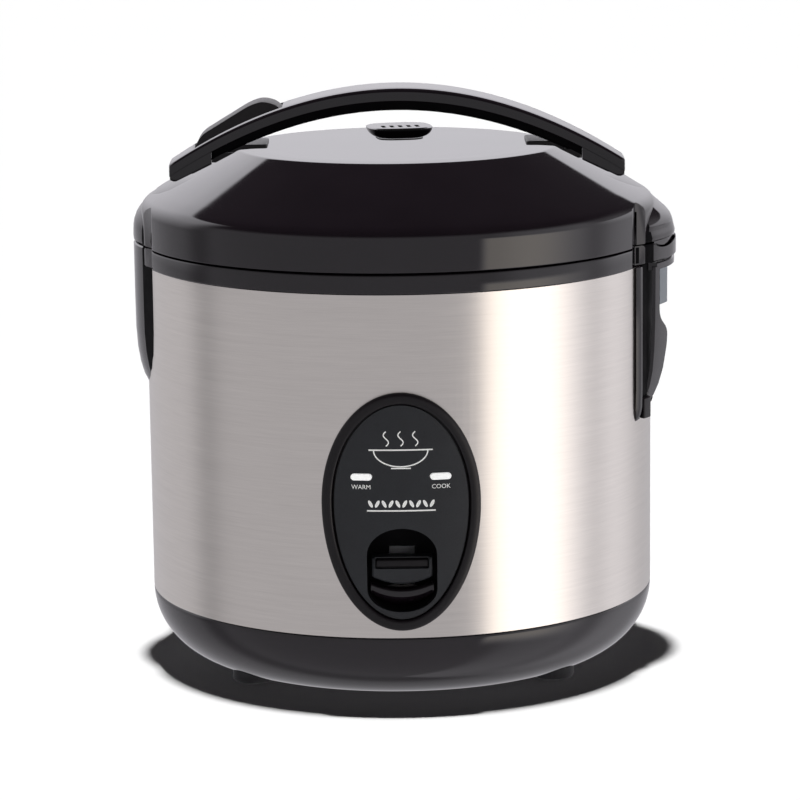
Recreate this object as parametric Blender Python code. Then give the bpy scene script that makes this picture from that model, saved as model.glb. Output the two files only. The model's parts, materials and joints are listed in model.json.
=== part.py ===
"""Jar-type rice cooker: brushed steel body, hinged lid with a carrying handle, cook switch.

Every length below is in millimetres. solid() turns the points into metres, so the model is at
its real size in Blender, +Z up, standing on z = 0. The control panel faces -Y, the lid's hinge is
on +X, its latch on -X and the mains inlet on +Y. The body's axis is the reference of every piece,
and the whole cooker hangs on one empty that centres its outer box on the world origin.
"""
import math

import bmesh
import bpy
from mathutils import Matrix, Vector

MM = 0.001
GAP = 0.3  # between pieces that rest on or fit in each other
TAU = 2 * math.pi

# Body stack, from the floor up
FOOT_DROP = 3.6
BASE_HEIGHT = 31.2
SHELL_HEIGHT = 150.7
RIM_HEIGHT = 9.0
BODY_RADIUS = 115.0
SHELL_WALL = 0.8
RIM_PROUD = 1.8
PLASTIC_WALL = 2.5

BASE_BOTTOM = FOOT_DROP
BASE_TOP = BASE_BOTTOM + BASE_HEIGHT
SHELL_TOP = BASE_TOP + SHELL_HEIGHT
SEAM = SHELL_TOP + RIM_HEIGHT  # where the lid meets the rim
RIM_RADIUS = BODY_RADIUS + RIM_PROUD
SHELL_BORE = BODY_RADIUS - SHELL_WALL
BODY_SIDES = 48
INNER_SIDES = 36
SMALL_SIDES = 16

# Base
BASE_CORNER = 32.0
BASE_LIP = 5.0
FOOT_RADIUS = 9.6
FOOT_CIRCLE = 84.5
FOOT_ANGLE = 37.0
SCREW_CIRCLE = 70.0
SCREW_ANGLES = (60, 180, 300)
SCREW_SHANK = 1.5
SCREW_HEAD = 3.2
VENT_SLOTS = 8

# Cooking parts
POT_RADIUS = 91.0
POT_WALL = 1.2
POT_FLANGE = 12.5
HEAT_GAP = 0.8  # between the pot and the inner shell
INNER_WALL = 0.8
INNER_BOTTOM = 40.0
PLATE_TOP = 58.0
PLATE_RADIUS = 80.5
PLATE_HOLE = 17.0
PLATE_DEPTH = 8.0
SUPPORT_CIRCLE = 68.0
TERMINAL_CIRCLE = 51.0
SENSOR_RADIUS = 16.0
SENSOR_TRAVEL = 3.0
THERMOSTAT_RADIUS = 14.0
THERMOSTAT_BOTTOM = 24.0

# Lid
LID_WALL_HEIGHT = 14.0
LID_SHOULDER = (109.3, 22.0)
LID_EDGE = (71.5, 40.7)
LID_HEIGHT = 42.0
FRAME_BOTTOM = 2.0
FRAME_WALL = 2.0

# Handle: a parabolic arch over the lid
HANDLE_TOP = 69.0
HANDLE_BOW = 0.362 / BODY_RADIUS
HANDLE_TIP = 102.9
HANDLE_HALF = 16.0
HANDLE_BAND = 6.4
HANDLE_DEPTH = 12.3
HANDLE_PAD_INNER = 57.5
HANDLE_PAD_OUTER = 99.0
HANDLE_SCREW_X = 66.0

# Release lever and latch hook
LEVER_PIVOT = (-55.0, 56.5)
LEVER_HALF = 10.5
LEVER_SIDE_GAP = 0.5
LEVER_LENGTH = 36.4
FINGER_X = (-88.0, -84.0)
HOOK_PIVOT = (-99.0, 12.0)
HOOK_HALF = 5.0
HOOK_PIN = 1.5
KEEPER_HALF = 7.8

# Steam vent
VENT_Y = 26.0
VENT_TURN = 8.0
VENT_HALF = 15.0
VENT_RISE = 6.3
DUCT_RADIUS = 8.2

# Lid hinge and dew collector
HINGE_REACH = 127.0
HINGE_HALF = 46.0
HINGE_SIDE_X = 110.4
HINGE_BOTTOM = 79.0  # below the seam
HINGE_AXIS = (120.3, 6.0)  # x, and height above the seam
HINGE_PIN = 1.2
KNUCKLE = 2.6
ARM_Y = 8.0
ARM_WIDTH = 4.0
COVER_REACH = 126.3
COVER_WALL = 2.0
DEW_HALF = 36.0
DEW_BACK = 118.4
DEW_WALL = 1.5

# Latch
LATCH_REACH = 120.6
LATCH_HALF = 32.0
LATCH_SIDE_X = 114.8
LATCH_BOTTOM = 66.0  # below the seam

# Control panel, on the body's front
PANEL_MIDDLE = 94.7
PANEL_HALF = 34.5
PANEL_ABOVE = 48.5
PANEL_BELOW = 56.0
BEZEL_WIDTH = 5.0
BEZEL_PROUD = 2.8
WINDOW_U = 17.0
WINDOW_Z = 106.6
WINDOW_SIZE = (9.4, 3.2)
OPENING_HALF = 15.2
OPENING_STRAIGHT = (57.0, 72.0)
OPENING_ENDS = (10.0, 12.0)  # how far the round ends reach below and above the straight sides
PADDLE_HALF = 13.5
PADDLE_BOTTOM = 59.2
PADDLE_TOP = 70.7
SWITCH_PIVOT = (-72.0, 31.0)  # y, z
SWITCH_PIN = 1.4
STRIP = 1.6
FORK_Z = 12.6

# Mains inlet, at the back
INLET_Z = 64.0
INLET_HALF = 15.0
INLET_HEIGHT = 22.0
INLET_REACH = 118.5
SOCKET_HALF = 12.2
SOCKET_HEIGHT = 16.0
SOCKET_BOTTOM = 101.0

bpy.context.preferences.edit.use_global_undo = False
for old in list(bpy.data.objects):
    bpy.data.objects.remove(old, do_unlink=True)


# ------------------------------------------------------------------ finishes
def finish(name, colour, roughness, metallic=0.0, alpha=1.0):
    material = bpy.data.materials.new(name)
    material.use_nodes = True
    shader = material.node_tree.nodes["Principled BSDF"]
    shader.inputs["Base Color"].default_value = (*colour, 1.0)
    shader.inputs["Roughness"].default_value = roughness
    shader.inputs["Metallic"].default_value = metallic
    shader.inputs["Alpha"].default_value = alpha
    return material


GLOSS_BLACK = finish("gloss_black", (0.030, 0.025, 0.030), 0.12)
SATIN_BLACK = finish("satin_black", (0.020, 0.018, 0.020), 0.45)
PANEL_GREY = finish("panel_grey", (0.018, 0.019, 0.022), 0.35)
STEEL = finish("brushed_steel", (0.58, 0.56, 0.54), 0.32, 1.0)
SPRING_STEEL = finish("spring_steel", (0.45, 0.45, 0.46), 0.30, 1.0)
ALUMINIUM = finish("aluminium", (0.75, 0.75, 0.77), 0.40, 1.0)
CAST = finish("cast_aluminium", (0.55, 0.55, 0.57), 0.55, 1.0)
COATING = finish("pot_coating", (0.05, 0.05, 0.055), 0.50)
BRASS = finish("brass", (0.72, 0.55, 0.28), 0.30, 1.0)
RUBBER = finish("rubber", (0.03, 0.03, 0.03), 0.80)
SILICONE = finish("silicone", (0.80, 0.80, 0.78), 0.60)
CLEAR = finish("clear_plastic", (0.85, 0.87, 0.88), 0.10, 0.0, 0.35)
LENS = finish("lens_white", (0.92, 0.92, 0.90), 0.20)
BOARD = finish("circuit_board", (0.05, 0.22, 0.10), 0.50)
SLEEVE = finish("glass_sleeve", (0.75, 0.72, 0.62), 0.80)


# ------------------------------------------------------------------ making and placing solids
def empty_at(name, place, parent=None):
    """An empty at a place given in the cooker's own millimetres."""
    marker = bpy.data.objects.new(name, None)
    bpy.context.scene.collection.objects.link(marker)
    marker.location = Vector(place) * MM
    marker.parent = parent
    return marker


COOKER = empty_at("cooker", ((LATCH_REACH - HINGE_REACH) / 2, (BODY_RADIUS + BEZEL_PROUD - INLET_REACH) / 2, 0))
LID_AXIS = empty_at("lid_hinge_axis", (HINGE_AXIS[0], 0, SEAM + HINGE_AXIS[1]), COOKER)
LEVER_AXIS = empty_at("release_lever_axis", (LEVER_PIVOT[0], 0, SEAM + LEVER_PIVOT[1]), COOKER)
HOOK_AXIS = empty_at("latch_hook_axis", (HOOK_PIVOT[0], 0, SEAM + HOOK_PIVOT[1]), COOKER)
SWITCH_AXIS = empty_at("cook_switch_axis", (0, *SWITCH_PIVOT), COOKER)
VENT_AXIS = empty_at("steam_vent_axis", (0, VENT_Y, SEAM + LID_HEIGHT), COOKER)
SENSOR_AXIS = empty_at("sensor_axis", (0, 0, PLATE_TOP), COOKER)
MAGNET_AXIS = empty_at("magnet_axis", (0, 0, FORK_Z), COOKER)
DEW_AXIS = empty_at("dew_collector_axis", (HINGE_REACH, 0, SEAM - HINGE_BOTTOM / 2), COOKER)


def solid(name, points, faces, material, pivot=COOKER):
    """One object from points in millimetres, with its faces pointing out and its origin on its pivot."""
    shift = Vector((0, 0, 0)) if pivot is COOKER else pivot.location
    mesh = bpy.data.meshes.new(name)
    mesh.from_pydata([Vector(p) * MM - shift for p in points], [], faces)
    work = bmesh.new()
    work.from_mesh(mesh)
    bmesh.ops.remove_doubles(work, verts=work.verts, dist=1e-7)
    bmesh.ops.recalc_face_normals(work, faces=work.faces)
    work.to_mesh(mesh)
    work.free()
    mesh.shade_smooth()
    mesh.set_sharp_from_angle(angle=math.radians(28))
    piece = bpy.data.objects.new(name, mesh)
    bpy.context.scene.collection.objects.link(piece)
    piece.parent = pivot
    mesh.materials.append(material)
    return piece


def guide(piece):
    """Marks a piece as a shape that only cuts, trims or joins."""
    piece.hide_render = True
    piece.display_type = "WIRE"
    return piece


def combine(piece, tool, operation):
    modifier = piece.modifiers.new(operation.lower(), "BOOLEAN")
    modifier.operation = operation
    modifier.solver = "EXACT"
    modifier.object = guide(tool)
    return piece


def cut(piece, *tools):
    for tool in tools:
        combine(piece, tool, "DIFFERENCE")
    return piece


def join(piece, *tools):
    for tool in tools:
        combine(piece, tool, "UNION")
    return piece


def trim(piece, *tools):
    for tool in tools:
        combine(piece, tool, "INTERSECT")
    return piece


def turned(name, profile, material, sides=BODY_SIDES, centre=(0, 0), pivot=COOKER):
    """A closed profile of (radius, z) points turned about a vertical axis at centre."""
    points, rings = [], []
    for radius, z in profile:
        count = 1 if radius < 1e-6 else sides
        rings.append([len(points) + i for i in range(count)])
        for i in range(count):
            angle = TAU * i / sides
            points.append((centre[0] + radius * math.cos(angle), centre[1] + radius * math.sin(angle), z))
    faces = []
    for ring, following in zip(rings, rings[1:] + rings[:1]):
        for i in range(sides):
            corners = [ring[i % len(ring)], ring[(i + 1) % len(ring)],
                       following[(i + 1) % len(following)], following[i % len(following)]]
            corners = list(dict.fromkeys(corners))
            if len(corners) > 2:
                faces.append(corners)
    return solid(name, points, faces, material, pivot)


def lofted(name, rings, material, pivot=COOKER, closed=False):
    """A skin over rings of equally many points, capped at both ends unless it closes on itself."""
    count = len(rings[0])
    points = [point for ring in rings for point in ring]
    faces = []
    spans = len(rings) if closed else len(rings) - 1
    for k in range(spans):
        low, high = k * count, (k + 1) % len(rings) * count
        faces += [(low + i, low + (i + 1) % count, high + (i + 1) % count, high + i) for i in range(count)]
    if not closed:
        faces.append(tuple(range(count)))
        faces.append(tuple(range(len(points) - count, len(points))))
    return solid(name, points, faces, material, pivot)


def prism(name, axis, outline, low, high, material=SATIN_BLACK, pivot=COOKER):
    """An outline of (x, y), (x, z) or (y, z) points pushed along the remaining axis."""
    place = {"X": lambda a, b, c: (c, a, b), "Y": lambda a, b, c: (a, c, b), "Z": lambda a, b, c: (a, b, c)}[axis]
    return lofted(name, [[place(a, b, c) for a, b in outline] for c in (low, high)], material, pivot)


def box(name, low, high, material=SATIN_BLACK, pivot=COOKER):
    outline = [(low[0], low[1]), (high[0], low[1]), (high[0], high[1]), (low[0], high[1])]
    return prism(name, "Z", outline, low[2], high[2], material, pivot)


def rod(name, axis, centre, radius, low, high, material=SATIN_BLACK, sides=SMALL_SIDES, pivot=COOKER):
    """A round bar along an axis; centre holds the other two coordinates."""
    outline = arc(centre, (radius, radius), 0, 360, sides)[:-1]
    return prism(name, axis, outline, low, high, material, pivot)


def arc(centre, radii, start, end, steps):
    """Points from start to end degrees on an ellipse."""
    angles = [math.radians(start + (end - start) * i / steps) for i in range(steps + 1)]
    return [(centre[0] + radii[0] * math.cos(a), centre[1] + radii[1] * math.sin(a)) for a in angles]


def swept(name, path, radius, sides, material, pivot=COOKER):
    """A round wire along a path of points."""
    path = [Vector(p) for p in path]
    side = None
    rings = []
    for i, here in enumerate(path):
        run = (path[min(i + 1, len(path) - 1)] - path[max(i - 1, 0)]).normalized()
        side = run.orthogonal() if side is None else side - run * side.dot(run)
        side.normalize()
        other = run.cross(side)
        rings.append([here + side * radius * math.cos(TAU * k / sides) + other * radius * math.sin(TAU * k / sides)
                      for k in range(sides)])
    return lofted(name, rings, material, pivot)


def coil(name, axis, start, length, radius, wire, turns, material, pivot=COOKER):
    """A coil spring from its start point along an axis."""
    steps = turns * 10
    path = []
    for i in range(steps + 1):
        angle = TAU * turns * i / steps
        along = wire + (length - 2 * wire) * i / steps
        a, b = radius * math.cos(angle), radius * math.sin(angle)
        offset = {"Y": (a, along, b), "Z": (a, b, along)}[axis]
        path.append(Vector(start) + Vector(offset))
    return swept(name, path, wire, 5, material, pivot)


def screw(name, place, head_z, tip_z, pivot=COOKER):
    """A pan-head screw pointing up, its head at the bottom."""
    profile = [(0, head_z), (SCREW_HEAD - 0.5, head_z), (SCREW_HEAD, head_z + 0.5), (SCREW_HEAD, head_z + 2.0),
               (SCREW_SHANK, head_z + 2.0), (SCREW_SHANK, tip_z - 1.5), (0, tip_z)]
    return turned(name, profile, SPRING_STEEL, 12, place, pivot)


def round_the_axis(radius, degrees):
    angle = math.radians(degrees)
    return radius * math.cos(angle), radius * math.sin(angle)


# ------------------------------------------------------------------ outer surfaces shared by pieces
def base_curve(offset=0.0, steps=8):
    """The base's outer curve from its flat underside to its top edge, moved out by offset."""
    centre = (BODY_RADIUS - BASE_CORNER, BASE_TOP)
    return arc(centre, (BASE_CORNER + offset, BASE_HEIGHT + offset), -90, 0, steps)


def lid_height(radius):
    """Height of the lid's outer surface above the seam."""
    if radius <= LID_EDGE[0]:
        return LID_HEIGHT
    slope = (LID_EDGE[1] - LID_SHOULDER[1]) / (LID_SHOULDER[0] - LID_EDGE[0])
    return LID_EDGE[1] - (radius - LID_EDGE[0]) * slope


def lid_outline(inset=0.0):
    """The lid's profile from its edge to its centre, moved in by inset."""
    r = RIM_RADIUS - inset
    points = [(r, 0), (r, LID_WALL_HEIGHT - inset * 0.4), (r - 1.2, LID_WALL_HEIGHT + 4.2 - inset * 0.7),
              (r - 4.0, LID_WALL_HEIGHT + 7.0 - inset), (LID_SHOULDER[0] - inset * 0.5, LID_SHOULDER[1] - inset * 0.9),
              (LID_EDGE[0] - inset * 0.5, LID_EDGE[1] - inset * 0.9), (LID_EDGE[0] - 3.5, LID_HEIGHT - 0.25 - inset),
              (LID_EDGE[0] - 8, LID_HEIGHT - inset), (0, LID_HEIGHT - inset)]
    return [(radius, SEAM + z) for radius, z in points]


def handle_line(x):
    """Height of the handle's crown above the floor."""
    return SEAM + HANDLE_TOP - HANDLE_BOW * x * x


def bulge(reach, side_x, half, steps=8):
    """A bowed outline in plan from (side_x, -half) out to (reach, 0) and back to (side_x, half)."""
    sag = reach - side_x
    radius = (half * half + sag * sag) / (2 * sag)
    sweep = math.degrees(math.asin(half / radius))
    return arc((reach - radius, 0), (radius, radius), -sweep, sweep, steps)


def hinge_plan(reach, inset=0.0):
    """The hinge side's outline in plan, shared by the lid, the rim and the bracket."""
    root_x, root_y = HINGE_SIDE_X - 7, HINGE_HALF + 4.2
    inner = HINGE_SIDE_X - 25
    return [(inner, inset - root_y), (root_x, inset - root_y)] + bulge(
        reach - inset, HINGE_SIDE_X - inset, HINGE_HALF - inset) + [(root_x, root_y - inset), (inner, root_y - inset)]


def latch_plan():
    root_x, root_y = LATCH_SIDE_X - 7, LATCH_HALF + 6
    outline = [(LATCH_SIDE_X - 25, -root_y), (root_x, -root_y)] + bulge(LATCH_REACH, LATCH_SIDE_X, LATCH_HALF)
    outline += [(root_x, root_y), (LATCH_SIDE_X - 25, root_y)]
    return [(-x, y) for x, y in outline]


def round_foot(half, bottom, top, corner_x, corner_z, steps=5):
    """A (y, z) outline with a flat top and elliptical lower corners."""
    right = arc((half - corner_x, bottom + corner_z), (corner_x, corner_z), 0, -90, steps)
    left = arc((corner_x - half, bottom + corner_z), (corner_x, corner_z), -90, -180, steps)
    return [(half, top)] + right + left + [(-half, top)]


# ------------------------------------------------------------------ panel shapes
def panel_point(turn, inset):
    """A point of the panel's egg outline at an angle in radians, moved in by inset: (u, z)."""
    rise = PANEL_ABOVE if math.sin(turn) >= 0 else PANEL_BELOW
    normal = Vector((math.cos(turn) / PANEL_HALF, math.sin(turn) / rise)).normalized()
    return (PANEL_HALF * math.cos(turn) - inset * normal.x, PANEL_MIDDLE + rise * math.sin(turn) - inset * normal.y)


def on_body(u, z, radius):
    """A point at arc length u from the front line, on a cylinder round the body's axis."""
    angle = u / BODY_RADIUS
    return radius * math.sin(angle), -radius * math.cos(angle), z


def panel_loop(inset, radius, count=44):
    return [on_body(*panel_point(TAU * i / count, inset), radius) for i in range(count)]


def opening_outline(extra=0.0):
    """The switch opening: straight sides with round ends, as (x, z)."""
    half = OPENING_HALF + extra
    low, high = OPENING_STRAIGHT
    top = arc((0, high), (half, OPENING_ENDS[1] + extra), 0, 180, 10)
    bottom = arc((0, low), (half, OPENING_ENDS[0] + extra), 180, 360, 10)
    return top + bottom


def window_outline(side, size):
    """A rounded bar in the panel, as (x, z)."""
    centre = BODY_RADIUS * math.sin(side * WINDOW_U / BODY_RADIUS)
    half, radius = size[0] / 2 - size[1] / 2, size[1] / 2
    return (arc((centre + half, WINDOW_Z), (radius, radius), -90, 90, 5)
            + arc((centre - half, WINDOW_Z), (radius, radius), 90, 270, 5))


# ------------------------------------------------------------------ base and body
def base_housing():
    inner = [(r - PLASTIC_WALL, z) for r, z in base_curve(0)[:-1]]
    inner = [(r, max(z, BASE_BOTTOM) + PLASTIC_WALL) for r, z in inner]
    lip = SHELL_BORE - 0.5
    profile = [(0, BASE_BOTTOM)] + base_curve() + [(lip, BASE_TOP), (lip, BASE_TOP + BASE_LIP),
                                                    (lip - 2, BASE_TOP + BASE_LIP), (lip - 2, BASE_TOP - 2)]
    profile += [p for p in reversed(inner) if p[1] < BASE_TOP - 4] + [(0, BASE_BOTTOM + PLASTIC_WALL)]
    base = turned("base_housing", profile, GLOSS_BLACK)
    boss_top = INNER_BOTTOM - GAP
    for i, degrees in enumerate(SCREW_ANGLES):
        place = round_the_axis(SCREW_CIRCLE, degrees)
        join(base, rod(f"boss_{i}", "Z", place, 5.5, BASE_BOTTOM + 1, boss_top, sides=12))
        cut(base, rod(f"boss_bore_{i}", "Z", place, SCREW_SHANK + GAP, BASE_BOTTOM - 1, boss_top + 1, sides=12),
            rod(f"boss_sink_{i}", "Z", place, SCREW_HEAD + 0.5, BASE_BOTTOM - 1, BASE_BOTTOM + 3.2, sides=12))
    for i in range(VENT_SLOTS):
        slot = box(f"vent_slot_{i}", (22, -1.5, BASE_BOTTOM - 1), (46, 1.5, BASE_BOTTOM + PLASTIC_WALL + 1))
        slot.rotation_euler.z = TAU * (i + 0.5) / VENT_SLOTS
        cut(base, slot)
    return base


def feet():
    for side_x, side_y, name in ((-1, -1, "front_left"), (1, -1, "front_right"),
                                 (-1, 1, "rear_left"), (1, 1, "rear_right")):
        x, y = round_the_axis(FOOT_CIRCLE, FOOT_ANGLE)
        profile = [(0, 0), (FOOT_RADIUS - 1.2, 0), (FOOT_RADIUS, 1.2), (FOOT_RADIUS, 9), (0, 9)]
        foot = turned(f"foot_{name}", profile, RUBBER, 20, (side_x * x, side_y * y))
        cut(foot, turned(f"underside_{name}", [(0, BASE_BOTTOM - GAP)] + base_curve(GAP) + [(0, BASE_TOP)], RUBBER))


def base_screws():
    for i, degrees in enumerate(SCREW_ANGLES, 1):
        screw(f"base_screw_{i}", round_the_axis(SCREW_CIRCLE, degrees), BASE_BOTTOM + 0.9, INNER_BOTTOM + 4)


def outer_shell():
    low, high = BASE_TOP + GAP, SHELL_TOP - GAP
    shell = turned("outer_shell", [(BODY_RADIUS, low), (BODY_RADIUS, high), (SHELL_BORE, high), (SHELL_BORE, low)],
                   STEEL)
    hole = [panel_point(TAU * i / 44, BEZEL_WIDTH / 2) for i in range(44)]
    hole = [(on_body(u, z, BODY_RADIUS)[0], z) for u, z in hole]
    inlet = (INLET_HALF + GAP, INLET_HEIGHT / 2 + GAP)
    return cut(shell, prism("panel_hole", "Y", hole, -BODY_RADIUS - 5, -BODY_RADIUS * 0.8),
               box("inlet_hole", (-inlet[0], 100, INLET_Z - inlet[1]), (inlet[0], 120, INLET_Z + inlet[1])))


def upper_rim():
    top, low = SEAM - GAP, SHELL_TOP + GAP
    skirt = SHELL_BORE - 0.6
    trough, lip = 104.5, POT_RADIUS + POT_WALL + 5.3
    profile = [(RIM_RADIUS, low), (RIM_RADIUS, top - 0.8), (RIM_RADIUS - 0.8, top), (trough, top), (trough, top - 4),
               (lip, top - 4), (lip, top - 1.6), (lip - 2, top - 1.6), (lip - 2, top - 6), (trough + 2, top - 6),
               (trough + 2, top - 2), (skirt - 1.6, top - 2), (skirt - 1.6, SHELL_TOP - 7.5),
               (skirt, SHELL_TOP - 7.5), (skirt, low)]
    rim = turned("upper_rim", profile, GLOSS_BLACK)
    band = prism("hinge_band", "Z", hinge_plan(HINGE_REACH), low, top)
    cut(band, turned("band_core", [(0, low - 1), (RIM_RADIUS - 1, low - 1), (RIM_RADIUS - 1, top + 1), (0, top + 1)],
                     SATIN_BLACK))
    join(rim, band)
    x, z = HINGE_AXIS[0], SEAM + HINGE_AXIS[1]
    corner = math.hypot(COVER_REACH - x, HINGE_AXIS[1])
    cut(rim, rod("hinge_groove", "Y", (x, z), corner + 0.35, -HINGE_HALF, HINGE_HALF, sides=32))
    for side in (-1, 1):
        low_y, high_y = side * ARM_Y - ARM_WIDTH / 2, side * ARM_Y + ARM_WIDTH / 2
        arm = [(x - 9.7, top - 1), (x - 6.6, top - 1), (x - 6.6, z - 2.3), (x, z - 2.3), (x, z + 2.3),
               (x - 9.7, z + 2.3)]
        leg = prism(f"hinge_arm_{side}", "Y", arm, low_y, high_y)
        join(leg, rod(f"arm_eye_{side}", "Y", (x, z), KNUCKLE, low_y, high_y))
        join(rim, leg)
    cut(rim, rod("hinge_bore", "Y", (x, z), HINGE_PIN + 0.25, -ARM_Y - ARM_WIDTH, ARM_Y + ARM_WIDTH))
    return cut(rim, box("keeper_gap", (-RIM_RADIUS - 1, -KEEPER_HALF, SHELL_TOP - 9), (-90, KEEPER_HALF, SEAM + 1)))


def latch_keeper():
    """The piece that closes the rim's ring. The lid's hook drops into its channel, and the barb stands under its lip."""
    top, low = SEAM - GAP, SHELL_TOP + GAP
    ledge = POT_RADIUS + POT_WALL + 5.3
    front = -math.sqrt(RIM_RADIUS ** 2 - KEEPER_HALF ** 2)
    return prism("latch_keeper", "Y", [(front, low), (front, top), (-114.6, top), (-114.6, low + 1.4), (-106, low + 1.4),
                                       (-106, top - 2), (-107.6, top - 2), (-107.6, top), (-104.5, top),
                                       (-104.5, top - 4), (-ledge, top - 4), (-ledge, top - 1.6),
                                       (2 - ledge, top - 1.6), (2 - ledge, top - 6), (-104.5, top - 6),
                                       (-104.5, low)], -KEEPER_HALF, KEEPER_HALF, GLOSS_BLACK)


def inner_shell():
    bore = POT_RADIUS + POT_WALL + HEAT_GAP
    top = SEAM - GAP - 6 - GAP
    profile = [(bore, top), (bore + 8, top), (bore + 8, top - INNER_WALL), (bore + INNER_WALL, top - INNER_WALL),
               (bore + INNER_WALL, INNER_BOTTOM), (60, INNER_BOTTOM), (60, INNER_BOTTOM + INNER_WALL),
               (bore, INNER_BOTTOM + INNER_WALL)]
    shell = turned("inner_shell", profile, ALUMINIUM, INNER_SIDES)
    for i, degrees in enumerate(SCREW_ANGLES):
        cut(shell, rod(f"pan_hole_{i}", "Z", round_the_axis(SCREW_CIRCLE, degrees), SCREW_SHANK + 0.4,
                       INNER_BOTTOM - 1, INNER_BOTTOM + 2, sides=12))
    return shell


def inner_pot():
    floor = PLATE_TOP + GAP
    top = SEAM - 0.5
    outer = POT_RADIUS + POT_WALL
    corner = 10.0
    profile = [(0, floor)] + arc((outer - corner, floor + corner), (corner, corner), -90, 0, 4)
    profile += [(outer, top - 1.1), (POT_RADIUS + POT_FLANGE, top - 1.1), (POT_RADIUS + POT_FLANGE, top),
                (POT_RADIUS, top)]
    profile += arc((outer - corner, floor + corner), (corner - POT_WALL, corner - POT_WALL), 0, -90, 4)
    profile += [(0, floor + POT_WALL)]
    return turned("inner_pot", profile, COATING, INNER_SIDES)


# ------------------------------------------------------------------ heater and thermostat
def heating_plate():
    low = PLATE_TOP - PLATE_DEPTH
    profile = [(PLATE_HOLE, PLATE_TOP), (PLATE_RADIUS - 1.5, PLATE_TOP), (PLATE_RADIUS, PLATE_TOP - 1.5),
               (PLATE_RADIUS, low + 2), (PLATE_RADIUS - 8, low), (TERMINAL_CIRCLE + 9, low),
               (TERMINAL_CIRCLE + 6, low - 2.2), (TERMINAL_CIRCLE - 6, low - 2.2), (TERMINAL_CIRCLE - 9, low),
               (PLATE_HOLE, low)]
    turned("heating_plate", profile, CAST, INNER_SIDES)
    for i in range(3):
        place = round_the_axis(SUPPORT_CIRCLE, 90 + 120 * i)
        rod(f"plate_support_{i + 1}", "Z", place, 3.5, INNER_BOTTOM + INNER_WALL + GAP, low - GAP, SPRING_STEEL, 12)
    for side, name in ((-1, "left"), (1, "right")):
        x, y = round_the_axis(TERMINAL_CIRCLE, 45)
        top = low - 2.2 - GAP
        outline = [(side * x - 3.15, 30), (side * x + 3.15, 30), (side * x + 3.15, 38), (side * x + 1.5, 40),
                   (side * x + 1.5, top), (side * x - 1.5, top), (side * x - 1.5, 40), (side * x - 3.15, 38)]
        prism(f"element_terminal_{name}", "Y", outline, y - 0.5, y + 0.5, BRASS)
    fuse = (0, PLATE_HOLE + 13, low - 3.2)
    outline = [(0, fuse[0] - 11), (1.4, fuse[0] - 11), (2.5, fuse[0] - 9), (2.5, fuse[0] + 9), (1.4, fuse[0] + 11),
               (0, fuse[0] + 11)]
    rings = [[(along, fuse[1] + r * math.cos(TAU * i / 12), fuse[2] + r * math.sin(TAU * i / 12)) for i in range(12)]
             for r, along in outline[1:-1]]
    lofted("thermal_fuse", rings, SLEEVE)


def thermostat():
    low, flange = THERMOSTAT_BOTTOM, PLATE_TOP - PLATE_DEPTH - GAP
    wall = 0.8
    profile = [(4, low), (THERMOSTAT_RADIUS, low), (THERMOSTAT_RADIUS, flange - wall), (24, flange - wall),
               (24, flange), (THERMOSTAT_RADIUS - wall, flange), (THERMOSTAT_RADIUS - wall, low + wall), (4, low + wall)]
    turned("thermostat_housing", profile, STEEL, 24)
    skirt = THERMOSTAT_RADIUS - wall - 0.7
    crown = PLATE_TOP
    profile = [(0, crown), (SENSOR_RADIUS - 0.5, crown), (SENSOR_RADIUS, crown - 0.5), (SENSOR_RADIUS, crown - 1.5),
               (skirt, crown - 1.5), (skirt, crown - 16), (skirt - 1, crown - 16), (skirt - 1, crown - 2), (0, crown - 2)]
    turned("sensor_cap", profile, ALUMINIUM, 24, pivot=SENSOR_AXIS)
    start = low + wall + GAP
    coil("thermostat_spring", "Z", (0, 0, start), crown - 2 - GAP - start, skirt - 2.2, 0.5, 6, SPRING_STEEL)
    collar, stem = 5.0, 2.5
    profile = [(0, FORK_Z - 4.4), (collar, FORK_Z - 4.4), (collar, FORK_Z - 2.4), (stem, FORK_Z - 2.4),
               (stem, FORK_Z + 2.2), (collar, FORK_Z + 2.2), (collar, FORK_Z + 3.4), (stem, FORK_Z + 3.4),
               (stem, 35), (8, 35), (8, 41), (0, 41)]
    turned("thermostat_magnet", profile, SPRING_STEEL, SMALL_SIDES, pivot=MAGNET_AXIS)


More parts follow.
